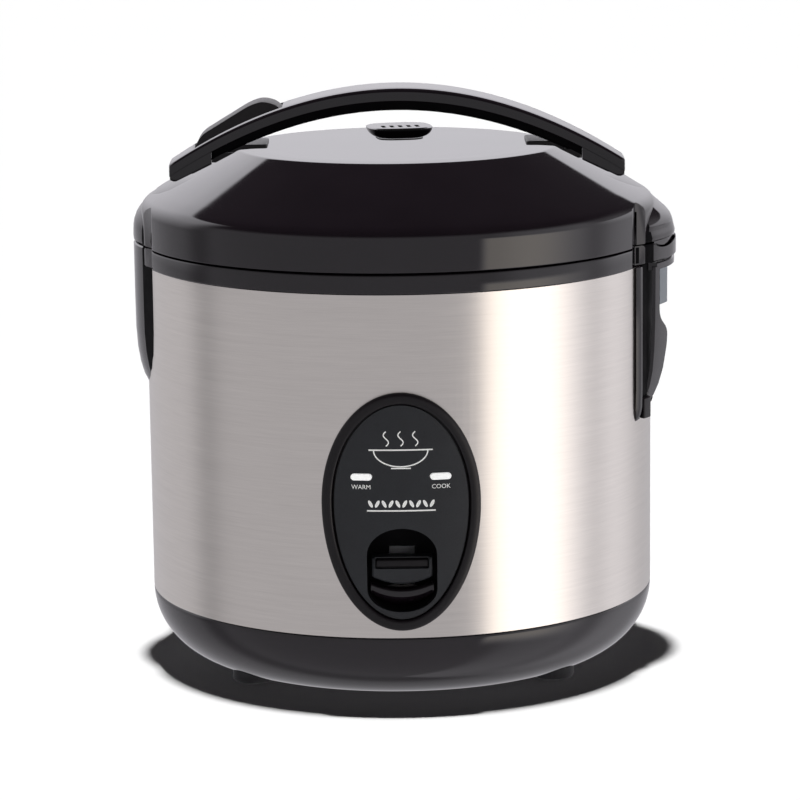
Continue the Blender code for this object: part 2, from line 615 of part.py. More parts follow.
# ------------------------------------------------------------------ control panel and cook switch
def control_panel():
    front = BODY_RADIUS + BEZEL_PROUD
    back = BODY_RADIUS - 2.2
    width, ledge = BEZEL_WIDTH, BEZEL_WIDTH + 3
    section = [(0, BODY_RADIUS + GAP), (0, front - 0.8), (0.8, front), (width - 0.8, front), (width, front - 0.6),
               (width, BODY_RADIUS - 1.1), (ledge, BODY_RADIUS - 1.1), (ledge, back), (width / 2 + GAP, back),
               (width / 2 + GAP, BODY_RADIUS + GAP)]
    lofted("panel_bezel", [panel_loop(inset, radius) for inset, radius in section], GLOSS_BLACK, closed=True)

    face, behind = front - 1.2, BODY_RADIUS - 0.8
    insets = (22, 14, 8, width + GAP + 0.6)
    loops = [panel_loop(inset, behind) for inset in insets] + [panel_loop(width + GAP, behind),
                                                              panel_loop(width + GAP, face - 0.5)]
    loops += [panel_loop(inset, face) for inset in reversed(insets)]
    plate = lofted("panel_plate", loops, PANEL_GREY)
    cut(plate, prism("switch_hole", "Y", opening_outline(), -front - 5, -BODY_RADIUS * 0.8))
    for side, name in ((-1, "warm"), (1, "cook")):
        cut(plate, prism(f"window_{name}", "Y", window_outline(side, WINDOW_SIZE), -front - 5, -BODY_RADIUS * 0.8))
        size = (WINDOW_SIZE[0] - 2 * GAP, WINDOW_SIZE[1] - 2 * GAP)
        x = BODY_RADIUS * math.sin(WINDOW_U / BODY_RADIUS)
        depth = face * math.cos(math.asin((x + size[0] / 2) / face))
        prism(f"indicator_lens_{name}", "Y", window_outline(side, size), -depth, -BODY_RADIUS + 3, LENS)

    box("indicator_board", (-24, -106, WINDOW_Z - 7), (24, -104.4, WINDOW_Z + 7), BOARD)

    pocket_back, pocket_front = -102.6, -112.6
    wall = 1.2
    pocket = prism("switch_pocket", "Y", opening_outline(wall), pocket_front, pocket_back, SATIN_BLACK)
    cut(pocket, prism("pocket_space", "Y", opening_outline(), pocket_front - 1, pocket_back - wall),
        box("pocket_slot", (-5.5, pocket_back - 3, 46.2), (5.5, pocket_back + 1, OPENING_STRAIGHT[1] + 2)))
    trim(pocket, turned("pocket_front", [(0, 0), (back - GAP, 0), (back - GAP, SEAM), (0, SEAM)], SATIN_BLACK))


def cook_switch():
    y, z = SWITCH_PIVOT
    outline = [(-106.2, PADDLE_TOP - 1), (-109.0, PADDLE_TOP), (-113.6, PADDLE_TOP - 4.6),
               (-113.9, PADDLE_BOTTOM + 1.5), (-112.8, PADDLE_BOTTOM), (-106.2, PADDLE_BOTTOM)]
    paddle = prism("switch_paddle", "X", outline, -PADDLE_HALF, PADDLE_HALF, GLOSS_BLACK, SWITCH_AXIS)
    socket = (4.0 + GAP, STRIP / 2 + GAP)
    cut(paddle, box("paddle_socket", (-socket[0], -112, 63 - socket[1]), (socket[0], -100, 63 + socket[1])))

    half = STRIP / 2
    line = [(-110.5, 63), (-101, 63), (-99.0, 61), (-99.0, 37), (-95, 33), (y - 6, z), (y + 6, z), (-18, FORK_Z + 1),
            (-6, FORK_Z), (7, FORK_Z)]
    upper, lower = [], []
    for i, here in enumerate(line):
        before, after = Vector(line[max(i - 1, 0)]), Vector(line[min(i + 1, len(line) - 1)])
        run = (after - before).normalized()
        ahead = (after - Vector(here)).normalized() if i < len(line) - 1 else run
        stretch = half / max(0.6, abs(run.dot(ahead)))
        upper.append((here[0] - run.y * stretch, here[1] + run.x * stretch))
        lower.append((here[0] + run.y * stretch, here[1] - run.x * stretch))
    arm = prism("switch_arm", "X", upper + lower[::-1], -4, 4, STEEL, SWITCH_AXIS)
    hub = rod("arm_hub", "X", (y, z), 3.6, -7, 7)
    join(arm, hub, box("fork_plate", (-7, -9, FORK_Z - half), (7, 7, FORK_Z + half)))
    join(arm, box("arm_tab", (3, y + 15.5, 26.0), (15, y + 18.5, 27.6)))
    cut(arm, rod("arm_bore", "X", (y, z), SWITCH_PIN + 0.25, -9, 9),
        box("fork_gap", (-3.3, -4.5, FORK_Z - 3), (3.3, 9, FORK_Z + 3)))

    top, low = INNER_BOTTOM - GAP, z - 4
    ears = [(-10.5, low), (-10.5, top), (10.5, top), (10.5, low), (9.3, low), (9.3, top - 1.2), (-9.3, top - 1.2),
            (-9.3, low)]
    bracket = prism("lever_bracket", "Y", ears, y - 6, y + 26, SPRING_STEEL)
    cut(bracket, rod("ear_bore", "X", (y, z), SWITCH_PIN + 0.25, -13, 13),
        box("ear_end", (-13, y + 6, low - 5), (13, y + 30, z + 1)))
    rings = [[(x, y + r * math.cos(TAU * i / 12), z + r * math.sin(TAU * i / 12)) for i in range(12)]
             for x, r in ((-13.2, 2.4), (-11.0, 2.4), (-11.0, SWITCH_PIN), (13.2, SWITCH_PIN))]
    lofted("lever_pin", rings, SPRING_STEEL)

    switch = box("microswitch", (10.5 + GAP, y + 7, z + 1), (17.2, y + 26, top), SATIN_BLACK)
    join(switch, box("switch_button", (12.5, y + 15.5, z - 1.2), (15.5, y + 18.5, z + 2)))


# ------------------------------------------------------------------ mains inlet
def mains_inlet():
    low, high = INLET_Z - INLET_HEIGHT / 2, INLET_Z + INLET_HEIGHT / 2
    inlet = box("power_inlet", (-INLET_HALF - 5, 108, low - 4), (INLET_HALF + 5, INLET_REACH, high + 4), SATIN_BLACK)
    cut(inlet, turned("inlet_seat", [(0, 0), (BODY_RADIUS + GAP, 0), (BODY_RADIUS + GAP, SEAM), (0, SEAM)], RUBBER))
    join(inlet, box("inlet_core", (-INLET_HALF, 97, low), (INLET_HALF, 116, high)))
    half = SOCKET_HEIGHT / 2
    cut(inlet, box("inlet_socket", (-SOCKET_HALF, SOCKET_BOTTOM, INLET_Z - half), (SOCKET_HALF, 130, INLET_Z + half)))
    for name, x, z in (("live", -7, INLET_Z - 2), ("neutral", 7, INLET_Z - 2), ("earth", 0, INLET_Z + 2)):
        box(f"inlet_pin_{name}", (x - 1, SOCKET_BOTTOM + GAP, z - 2), (x + 1, 114, z + 2), BRASS)
    end_x, end_y = round_the_axis(TERMINAL_CIRCLE, 45)
    for side, name in ((-1, "live"), (1, "neutral")):
        route = [(7, 100.5, low - 0.6), (7.2, 100.5, 44), (9, 97, 31), (18, 80, 24), (28, 58, 21.5),
                 (end_x - 2, end_y + 7, 21.5), (end_x, end_y + 1, 25), (end_x, end_y, 29.6)]
        swept(f"inlet_lead_{name}", smooth([(side * x, y, z) for x, y, z in route], 4), 1.6, 6, SLEEVE)


def smooth(points, steps):
    """Catmull-Rom points through the given ones."""
    points = [Vector(p) for p in points]
    ends = [2 * points[0] - points[1]] + points + [2 * points[-1] - points[-2]]
    curve = []
    for a, b, c, d in zip(ends, ends[1:], ends[2:], ends[3:]):
        for i in range(steps):
            t = i / steps
            curve.append(0.5 * (2 * b + (c - a) * t + (2 * a - 5 * b + 4 * c - d) * t * t
                                + (3 * b - 3 * c + d - a) * t ** 3))
    return curve + [points[-1]]


# ------------------------------------------------------------------ side brackets
def body_core(name, extra=GAP):
    """The space the body fills, with clearance: what sits on the body is cut by it."""
    return turned(name, [(0, 0), (BODY_RADIUS + extra, 0), (BODY_RADIUS + extra, SHELL_TOP), (RIM_RADIUS + extra,
                         SHELL_TOP), (RIM_RADIUS + extra, SEAM), (0, SEAM)], SATIN_BLACK)


def latch_housing():
    bottom = SEAM - LATCH_BOTTOM
    housing = prism("latch_housing", "Z", latch_plan(), bottom - 1, SEAM - GAP, GLOSS_BLACK)
    outline = round_foot(LATCH_HALF + 6, bottom, SEAM, LATCH_HALF + 6, 34, 7)
    profile = [(-LATCH_REACH, SEAM), (-LATCH_REACH, bottom + 20), (-LATCH_REACH + 1.4, bottom + 8),
               (-BODY_RADIUS - 1.5, bottom), (-100, bottom - 2), (-100, SEAM)]
    trim(housing, prism("latch_front", "X", outline, -130, -90), prism("latch_side", "Y", profile, -60, 60))
    return cut(housing, body_core("latch_seat"))


def hinge_side_profile(reach, top):
    bottom = SEAM - HINGE_BOTTOM
    return [(90, top), (reach, top), (reach - 0.6, bottom + 29), (reach - 3.4, bottom + 10.5), (reach - 9, bottom),
            (90, bottom)]


def hinge_bracket():
    top, bottom = SHELL_TOP - GAP, SEAM - HINGE_BOTTOM
    bracket = prism("hinge_bracket", "Z", hinge_plan(HINGE_REACH - 1.5), bottom - 1, top, SATIN_BLACK)
    outline = round_foot(HINGE_HALF + 4.2, bottom, top + 5, 18, 16)
    trim(bracket, prism("bracket_front", "X", outline, 80, 140),
         prism("bracket_side", "Y", hinge_side_profile(HINGE_REACH - 1.5, top + 5), -60, 60))
    cut(bracket, body_core("bracket_seat"))
    pocket = DEW_HALF + GAP
    return cut(bracket, box("dew_pocket", (DEW_BACK - GAP, -pocket, bottom + 3), (140, pocket, top + 1)))


def dew_collector():
    top, bottom = SHELL_TOP - 2.0, SEAM - HINGE_BOTTOM + 3 + GAP

    def cup(name, inset, low, high):
        """The cup's outer shape, or with an inset the space in it."""
        shape = prism(name, "Z", hinge_plan(HINGE_REACH, inset), low, high, CLEAR, DEW_AXIS)
        edge = DEW_HALF - inset
        trim(shape, box(name + "_width", (DEW_BACK + inset, -edge, low - 1), (140, edge, high + 1)))
        profile = [(x - inset, z + inset) for x, z in hinge_side_profile(HINGE_REACH, high + 5)]
        return trim(shape, prism(name + "_side", "Y", profile, -60, 60))

    collector = cup("dew_collector", 0.0, bottom, top)
    return cut(collector, cup("dew_space", DEW_WALL, bottom + DEW_WALL, top + 3))


# ------------------------------------------------------------------ lid
def lid_cover():
    inner = [(r, z) for r, z in lid_outline(PLASTIC_WALL)]
    lid = turned("lid_cover", lid_outline() + inner[::-1], GLOSS_BLACK, pivot=LID_AXIS)

    top = SEAM + LID_HEIGHT
    core = [(0, SEAM - 2), (RIM_RADIUS - 0.8, SEAM - 2)] + lid_outline(0.8)
    boss = prism("latch_boss", "Z", latch_plan(), SEAM, top)
    side = [(-LATCH_REACH, SEAM - 1), (-LATCH_REACH + 0.2, SEAM + 11), (-LATCH_REACH + 1, SEAM + 13.6),
            (-LATCH_REACH + 2.6, SEAM + 15.6), (-LATCH_REACH + 10.6, SEAM + 22.2), (-100, SEAM + 22.2), (-100, SEAM - 1)]
    trim(boss, prism("latch_boss_side", "Y", side, -60, 60))
    cut(boss, turned("boss_core", core, SATIN_BLACK))

    def cover_side(inset):
        reach = COVER_REACH - inset
        return [(98, SEAM - 1), (reach, SEAM - 1), (reach - 0.4, SEAM + 3), (reach - 1.1, SEAM + 7 - inset * 0.4),
                (reach - 3.8, SEAM + 11 - inset * 0.6), (reach - 17.6, SEAM + 23.2 - inset), (98, SEAM + 23.2 - inset)]

    cover = prism("hinge_cover", "Z", hinge_plan(COVER_REACH), SEAM, top)
    trim(cover, prism("cover_side", "Y", cover_side(0), -60, 60))
    hollow = prism("cover_space", "Z", hinge_plan(COVER_REACH, COVER_WALL), SEAM - 1, top)
    trim(hollow, prism("space_side", "Y", cover_side(COVER_WALL), -60, 60))
    cut(cover, hollow, turned("cover_core", core, SATIN_BLACK))
    join(lid, boss, cover)

    x, z = HINGE_AXIS[0], SEAM + HINGE_AXIS[1]
    reach_y = ARM_Y + ARM_WIDTH / 2 + 1
    cut(lid, box("arm_way", (100, -reach_y, SEAM - 1), (x - 2, reach_y, SEAM + 10)),
        rod("eye_way", "Y", (x, z), KNUCKLE + 0.5, -reach_y, reach_y))
    for sign in (-1, 1):
        low_y, high_y = sorted((sign * 3.0, sign * 5.6))
        web = prism(f"knuckle_web_{sign}", "Y", [(x - 1.5, z), (x + 1.8, z), (x + 1.8, z + 5.5), (x - 1.5, z + 6)],
                    low_y, high_y)
        join(web, rod(f"knuckle_{sign}", "Y", (x, z), KNUCKLE, low_y, high_y))
        join(lid, web)
    cut(lid, rod("lid_hinge_bore", "Y", (x, z), HINGE_PIN + 0.25, -7, 7))

    cut(lid, rod("vent_hole", "Z", (0, VENT_Y), DUCT_RADIUS + 0.6, top - 10, top + 5, sides=24))
    cut(lid, box("finger_way", (FINGER_X[0] - 1, -3.5, SEAM + 20), (FINGER_X[1] + 3.8, 3.5, top)))
    for name, sign in (("left", -1), ("right", 1)):
        cut(lid, rod(f"handle_hole_{name}", "Z", (sign * HANDLE_SCREW_X, 0), SCREW_SHANK + GAP, top - 10, top + 5,
                     sides=12))
    return lid


def lid_inside():
    low, high = SEAM + FRAME_BOTTOM, SEAM + FRAME_BOTTOM + FRAME_WALL
    edge = RIM_RADIUS - PLASTIC_WALL - 0.7
    frame = turned("lid_inner_frame", [(0, low), (edge, low), (edge, high + 1.5), (edge - 1.5, high + 1.5),
                                       (edge - 1.5, high), (0, high)], SATIN_BLACK, pivot=LID_AXIS)
    x, z = HOOK_PIVOT[0], SEAM + HOOK_PIVOT[1]
    for name, sign in (("front", -1), ("rear", 1)):
        low_y, high_y = sorted((sign * (HOOK_HALF + 0.5), sign * (HOOK_HALF + 3)))
        join(frame, box(f"hook_ear_{name}", (x - 3.5, low_y, low + 0.5), (x + 3.5, high_y, z + 3.5)))
    cut(frame, rod("hook_ear_bore", "Y", (x, z), HOOK_PIN + 0.25, -12, 12))
    cut(frame, box("hook_way", (-118, -HOOK_HALF - 1, low - 1), (-106.2, HOOK_HALF + 1, high + 4)))
    reach_y = ARM_Y + ARM_WIDTH / 2 + 1
    cut(frame, box("arm_notch", (108.8, -reach_y, low - 1), (120, reach_y, high + 4)))
    cut(frame, rod("duct_hole", "Z", (0, VENT_Y), DUCT_RADIUS - 1.6, low - 1, high + 1, sides=24))

    ring = POT_RADIUS + POT_WALL + 3.3
    gasket = [(ring, low - GAP), (ring + 4.5, low - GAP), (ring + 4.5, SEAM + 0.7), (ring + 6, SEAM + 0.1),
              (ring + 5.2, SEAM - 0.2), (ring + 2, SEAM + 0.4), (ring, SEAM + 0.4)]
    turned("lid_gasket", gasket, SILICONE, INNER_SIDES, pivot=LID_AXIS)

    plate = POT_RADIUS + 3.5
    profile = [(0, SEAM - 1.7), (80, SEAM - 1.7), (84, SEAM + 1.4), (plate, SEAM + 1.4), (plate, SEAM + 0.6),
               (84.8, SEAM + 0.6), (80.8, SEAM - 2.5), (0, SEAM - 2.5)]
    inner = turned("inner_lid_plate", profile, ALUMINIUM, INNER_SIDES, pivot=LID_AXIS)
    cut(inner, rod("steam_hole", "Z", (0, VENT_Y), 7, SEAM - 4, SEAM + 2),
        rod("retainer_hole", "Z", (0, 0), 4.2 + GAP, SEAM - 4, SEAM + 2))
    profile = [(0, SEAM - 6.5), (7, SEAM - 6.5), (9, SEAM - 5), (9, SEAM - 2.8), (4.2, SEAM - 2.8),
               (4.2, low - GAP), (0, low - GAP)]
    turned("plate_retainer", profile, SILICONE, SMALL_SIDES, pivot=LID_AXIS)


def steam_vent():
    low, top = SEAM + FRAME_BOTTOM + FRAME_WALL + GAP, SEAM + LID_HEIGHT
    bore = DUCT_RADIUS - 1.7
    profile = [(bore, low), (bore, top - 0.5), (DUCT_RADIUS, top - 0.5), (DUCT_RADIUS, low + 1), (DUCT_RADIUS + 2.3,
               low + 1), (DUCT_RADIUS + 2.3, low)]
    turned("vent_duct", profile, SILICONE, 20, (0, VENT_Y), pivot=LID_AXIS)

    def bowl(name, inset, bottom, rise):
        """A bowl with a nearly square rim, turned a little about its own axis."""
        rings = []
        for i in range(6):
            swell = math.sin(math.radians(90 * i / 5))
            half_x = VENT_HALF - inset - 6.5 * (1 - swell)
            half_y = 14 - inset - 5 * (1 - swell)
            z = bottom + rise * (1 - math.cos(math.radians(90 * i / 5)))
            rings.append([squarish(half_x, half_y, TAU * k / 28, z) for k in range(28)])
        return lofted(name, rings, SATIN_BLACK, VENT_AXIS)

    def squarish(half_x, half_y, turn, z):
        power = 2 / 3.2
        a = half_x * math.copysign(abs(math.cos(turn)) ** power, math.cos(turn))
        b = half_y * math.copysign(abs(math.sin(turn)) ** power, math.sin(turn))
        twist = math.radians(VENT_TURN)
        return (a * math.cos(twist) - b * math.sin(twist),
                VENT_Y + a * math.sin(twist) + b * math.cos(twist), z)

    cap = bowl("steam_vent_cap", 0.0, top + GAP, VENT_RISE - GAP)
    join(cap, rod("cap_stem", "Z", (0, VENT_Y), bore - 0.6, top - 14, top + 2, sides=20))
    cut(cap, bowl("cap_space", 1.6, top + 2, VENT_RISE - 3.4),
        rod("cap_bore", "Z", (0, VENT_Y), bore - 2.0, top - 15, top + 3, sides=SMALL_SIDES))
    for i in range(5):
        slot = box(f"cap_slot_{i}", (-1.05, -8.5, -4), (1.05, -0.2, 4), SATIN_BLACK)
        slot.location = Vector(((i - 2) * 3.9, VENT_Y, top + VENT_RISE)) * MM
        slot.rotation_euler.z = math.radians(VENT_TURN)
        cut(cap, slot)


# ------------------------------------------------------------------ handle, release lever and latch hook
def handle():
    steps = 28
    stations = [-HANDLE_TIP + 2 * HANDLE_TIP * i / steps for i in range(steps + 1)]
    half = HANDLE_HALF
    rings = []
    for x in stations:
        top, low = handle_line(x), handle_line(x) - HANDLE_BAND
        rings.append([(x, -half, low), (x, -half, top - 1.7), (x, -half + 1.5, top - 0.7), (x, -half / 2, top - 0.15),
                      (x, 0, top), (x, half / 2, top - 0.15), (x, half - 1.5, top - 0.7), (x, half, top - 1.7),
                      (x, half, low)])
    upper = lofted("handle_top", rings, GLOSS_BLACK, LID_AXIS)
    pocket = LEVER_HALF + LEVER_SIDE_GAP
    left = LEVER_PIVOT[0] - LEVER_LENGTH - 0.8
    cut(upper, box("lever_pocket", (left, -pocket, SEAM + 20), (LEVER_PIVOT[0] + 3.6, pocket, SEAM + 80)))
    cut(upper, rod("lever_seats", "Y", (LEVER_PIVOT[0], SEAM + LEVER_PIVOT[1]), 1.8, -13.4, 13.4))

    def underside(x):
        if abs(x) < HANDLE_PAD_INNER:
            return handle_line(x) - HANDLE_DEPTH
        return SEAM + lid_height(abs(x)) + 0.4

    inner, outer = HANDLE_PAD_INNER, HANDLE_PAD_OUTER
    places = [inner * i / 7 for i in range(8)][:-1] + [inner - 0.05, inner + 0.05, 62, 67, LID_EDGE[0], 80, 90, outer]
    places = [-p for p in reversed(places[1:])] + places
    rings = []
    width = HANDLE_HALF - 2
    for x in places:
        top, low = handle_line(x) - HANDLE_BAND - GAP, underside(x)
        rings.append([(x, -width, top), (x, -width + 1, low), (x, width - 1, low), (x, width, top)])
    lower = lofted("handle_lower", rings, SATIN_BLACK, LID_AXIS)
    cut(lower, box("lower_finger_way", (FINGER_X[0] - 1, -3.5, SEAM + 20), (FINGER_X[1] + 3.8, 3.5, SEAM + 60)))
    for name, sign in (("left", -1), ("right", 1)):
        cut(lower, rod(f"pad_hole_{name}", "Z", (sign * HANDLE_SCREW_X, 0), SCREW_SHANK + GAP, SEAM + 38, SEAM + 60,
                       sides=12))
        screw(f"handle_screw_{name}", (sign * HANDLE_SCREW_X, 0), SEAM + 36.9, SEAM + 48.0, LID_AXIS)


def release_lever():
    pivot_x, pivot_z = LEVER_PIVOT
    end = pivot_x - LEVER_LENGTH
    top = [(end, 43.4), (end + 2.9, 48.4), (-65.2, 62.6), (-60.6, 63.7), (-54.7, 62.4), (pivot_x + 2.9, 60.6)]
    top = [(x, SEAM + z) for x, z in top]
    bottom = [(x, handle_line(x) - 2.5) for x in (pivot_x + 2.9, -62, -70, -80, end)]
    lever = prism("release_lever", "Y", top + bottom, -LEVER_HALF, LEVER_HALF, SATIN_BLACK, LEVER_AXIS)
    join(lever, rod("lever_trunnions", "Y", (pivot_x, SEAM + pivot_z), 1.4, -13, 13, sides=12),
         box("lever_finger", (FINGER_X[0], -2.5, SEAM + 21.3), (FINGER_X[1], 2.5, SEAM + 44)))


def latch_hook():
    x, z = HOOK_PIVOT
    outline = [(-82.5, 21.0), (-90.0, 21.0), (-101.5, 15.2), (-111.0, 6.0), (-111.0, -5.0), (-108.4, -5.0),
               (-107.9, -3.2), (-108.8, -2.6), (-108.8, 3.5), (-99.0, 8.6), (-95.0, 10.0), (-82.5, 18.6)]
    hook = prism("latch_hook", "Y", [(a, SEAM + b) for a, b in outline], -HOOK_HALF, HOOK_HALF, STEEL, HOOK_AXIS)
    cut(hook, rod("hook_bore", "Y", (x, SEAM + z), HOOK_PIN + 0.25, -8, 8))
    rod("hook_pin", "Y", (x, SEAM + z), HOOK_PIN, -HOOK_HALF - 3.4, HOOK_HALF + 3.4, SPRING_STEEL, 12, LID_AXIS)
    start = SEAM + FRAME_BOTTOM + FRAME_WALL + GAP
    coil("release_spring", "Z", (-88, 0, start), SEAM + 13.6 - start, 2.6, 0.45, 4, SPRING_STEEL, LID_AXIS)


def hinge_hardware():
    x, z = HINGE_AXIS[0], SEAM + HINGE_AXIS[1]
    reach = ARM_Y + ARM_WIDTH / 2
    rod("hinge_pin", "Y", (x, z), HINGE_PIN, -reach, reach, SPRING_STEEL, 16)


base_housing()
feet()
base_screws()
outer_shell()
upper_rim()
latch_keeper()
inner_shell()
inner_pot()
heating_plate()
thermostat()
control_panel()
cook_switch()
mains_inlet()
latch_housing()
hinge_bracket()
dew_collector()
lid_cover()
lid_inside()
steam_vent()
handle()
release_lever()
latch_hook()
hinge_hardware()
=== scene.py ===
"""Rice cooker: its looks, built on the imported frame.

Lengths are in millimetres, measured from the axis of the round body and from the floor, unless a name
says otherwise. at() turns such a point into metres in the frame.
"""
import json
import math

import bmesh
import bpy
from mathutils import Matrix, Vector

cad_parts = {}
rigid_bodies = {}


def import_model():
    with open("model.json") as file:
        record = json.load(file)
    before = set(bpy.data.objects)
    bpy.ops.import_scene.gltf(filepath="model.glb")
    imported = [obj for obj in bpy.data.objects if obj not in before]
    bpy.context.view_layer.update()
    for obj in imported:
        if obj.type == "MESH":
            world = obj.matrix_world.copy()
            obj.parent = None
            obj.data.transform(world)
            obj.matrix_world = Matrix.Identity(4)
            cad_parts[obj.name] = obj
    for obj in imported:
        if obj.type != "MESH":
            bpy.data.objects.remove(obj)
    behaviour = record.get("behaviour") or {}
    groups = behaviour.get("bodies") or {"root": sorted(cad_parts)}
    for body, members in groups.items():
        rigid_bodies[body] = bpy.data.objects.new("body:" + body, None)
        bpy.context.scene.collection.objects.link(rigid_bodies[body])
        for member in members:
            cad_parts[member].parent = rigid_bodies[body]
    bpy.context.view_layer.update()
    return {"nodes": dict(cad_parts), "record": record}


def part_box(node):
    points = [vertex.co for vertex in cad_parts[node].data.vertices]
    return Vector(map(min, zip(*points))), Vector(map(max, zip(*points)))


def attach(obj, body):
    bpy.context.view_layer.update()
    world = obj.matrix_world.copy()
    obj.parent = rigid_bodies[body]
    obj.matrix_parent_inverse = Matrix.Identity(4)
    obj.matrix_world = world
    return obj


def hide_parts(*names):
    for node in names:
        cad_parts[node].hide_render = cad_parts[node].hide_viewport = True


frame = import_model()

MM = 0.001
TAU = 2 * math.pi

shell_low, shell_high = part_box("outer_shell")
BODY_AXIS = Vector(((shell_low.x + shell_high.x) / 2, (shell_low.y + shell_high.y) / 2, 0))
BODY_RADIUS = (shell_high.x - shell_low.x) / 2 / MM
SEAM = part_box("lid_cover")[0].z / MM  # the line where the lid meets the rim
SHELL_LOW, SHELL_HIGH = shell_low.z / MM, shell_high.z / MM
RIM_RADIUS = BODY_RADIUS + 1.8
LID_TOP = SEAM + 42.0
HANDLE_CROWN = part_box("handle_top")[1].z / MM
HANDLE_BOW = 0.362 / 115
PANEL_MIDDLE = 94.7
FRONT = BODY_RADIUS + 2.8  # the panel ring's crown
FACE = FRONT - 1.2  # the panel's printed face


def at(x, y, z):
    """A point in millimetres from the body's axis and the floor, as metres in the frame."""
    return Vector((x, y, z)) * MM + BODY_AXIS


# ------------------------------------------------------------------ finishes
def srgb(code):
    """A hex colour as linear red, green, blue and alpha."""
    parts = [int(code[i:i + 2], 16) / 255 for i in (1, 3, 5)]
    return (*[c / 12.92 if c <= 0.04045 else ((c + 0.055) / 1.055) ** 2.4 for c in parts], 1.0)


def add(tree, kind, settings=(), into=None, stops=(), **attributes):
    """Adds a node: settings are its sockets' values or what feeds them, into is the socket it feeds."""
    made = tree.nodes.new("ShaderNode" + kind)
    for name, value in attributes.items():
        setattr(made, name, value)
    for socket, value in dict(settings).items():
        if isinstance(value, bpy.types.NodeSocket):
            tree.links.new(value, made.inputs[socket])
        else:
            made.inputs[socket].default_value = value
    for place, (position, colour) in enumerate(stops):
        made.color_ramp.elements[place].position = position
        made.color_ramp.elements[place].color = srgb(colour)
    if into:
        tree.links.new(made.outputs[0], into)
    return made


def start_material(name, colour, roughness, metallic=0.0, **settings):
    """A material with its plain values: returns it, its tree, its shader's sockets and its coordinates."""
    made = bpy.data.materials.new(name)
    made.use_nodes = True
    tree = made.node_tree
    sockets = tree.nodes["Principled BSDF"].inputs
    values = {"Base Color": srgb(colour), "Roughness": roughness, "Metallic": metallic, **settings}
    for socket, value in values.items():
        sockets[socket].default_value = value
    return made, tree, sockets, add(tree, "TexCoord").outputs["Object"]


def surface(tree, sockets, where, gloss=None, shade=None, relief=None):
    """Gives a plain material the unevenness of a real surface, from noise in grains of a size in millimetres.

    gloss is (grain, lowest roughness, highest), shade is (grain, dark hex, light hex), relief is
    (grain, detail, depth in millimetres, strength). Instead of a grain's size, each takes a pattern's socket.
    """
    def pattern(grain, detail=3.0):
        if isinstance(grain, bpy.types.NodeSocket):
            return grain
        return add(tree, "TexNoise", {"Vector": where, "Scale": 1 / (grain * MM),
                                      "Detail": detail}).outputs[0]

    if gloss:
        add(tree, "MapRange", {"Value": pattern(gloss[0]), "From Min": 0.3, "From Max": 0.7,
                               "To Min": gloss[1], "To Max": gloss[2]}, sockets["Roughness"])
    if shade:
        add(tree, "ValToRGB", {"Fac": pattern(shade[0])}, sockets["Base Color"],
            ((0.3, shade[1]), (0.7, shade[2])))
    if relief:
        add(tree, "Bump", {"Height": pattern(*relief[:2]), "Distance": relief[2] * MM, "Strength": relief[3]},
            sockets["Normal"])


def polished_black_abs():
    """Black ABS from a mirror-polished tool: deep gloss, with the faint waviness of moulded skin."""
    made, tree, sockets, where = start_material("polished black ABS", "#140e13", 0.08, IOR=1.52)
    surface(tree, sockets, where, (14, 0.045, 0.075), (40, "#120c11", "#161015"), (7, 1.0, 0.006, 0.5))
    return made


def satin_black_abs():
    """Black ABS from a finely etched tool: a soft sheen. The grain is about 0.5 mm, drawn at 0.8 to show."""
    made, tree, sockets, where = start_material("etched black ABS", "#130e11", 0.46, IOR=1.5,
                                                **{"Specular IOR Level": 0.32})
    surface(tree, sockets, where, (0.8, 0.34, 0.46), (25, "#110d10", "#161215"), (0.8, 3.0, 0.03, 0.5))
    return made


def dull_shaded_black_abs():
    """Matt black ABS from a coarse tool, grain 1.1 mm; its extra darkness and weak sheen are painted shade."""
    made, tree, sockets, where = start_material("unpolished black ABS with painted shade", "#070609", 0.85, IOR=1.45,
                                                **{"Specular IOR Level": 0.15})
    surface(tree, sockets, where, (9, 0.78, 0.92), None, (1.1, 3.0, 0.04, 0.5))
    return made


def panel_abs():
    """Charcoal ABS, spark-eroded: nearly matt, so the white print stands out. Grain 0.4 mm, drawn at 0.7."""
    made, tree, sockets, where = start_material("spark-eroded charcoal ABS", "#212327", 0.52, IOR=1.5)
    surface(tree, sockets, where, (0.7, 0.46, 0.60), (18, "#1e2024", "#24272b"), (0.7, 3.0, 0.03, 0.6))
    return made


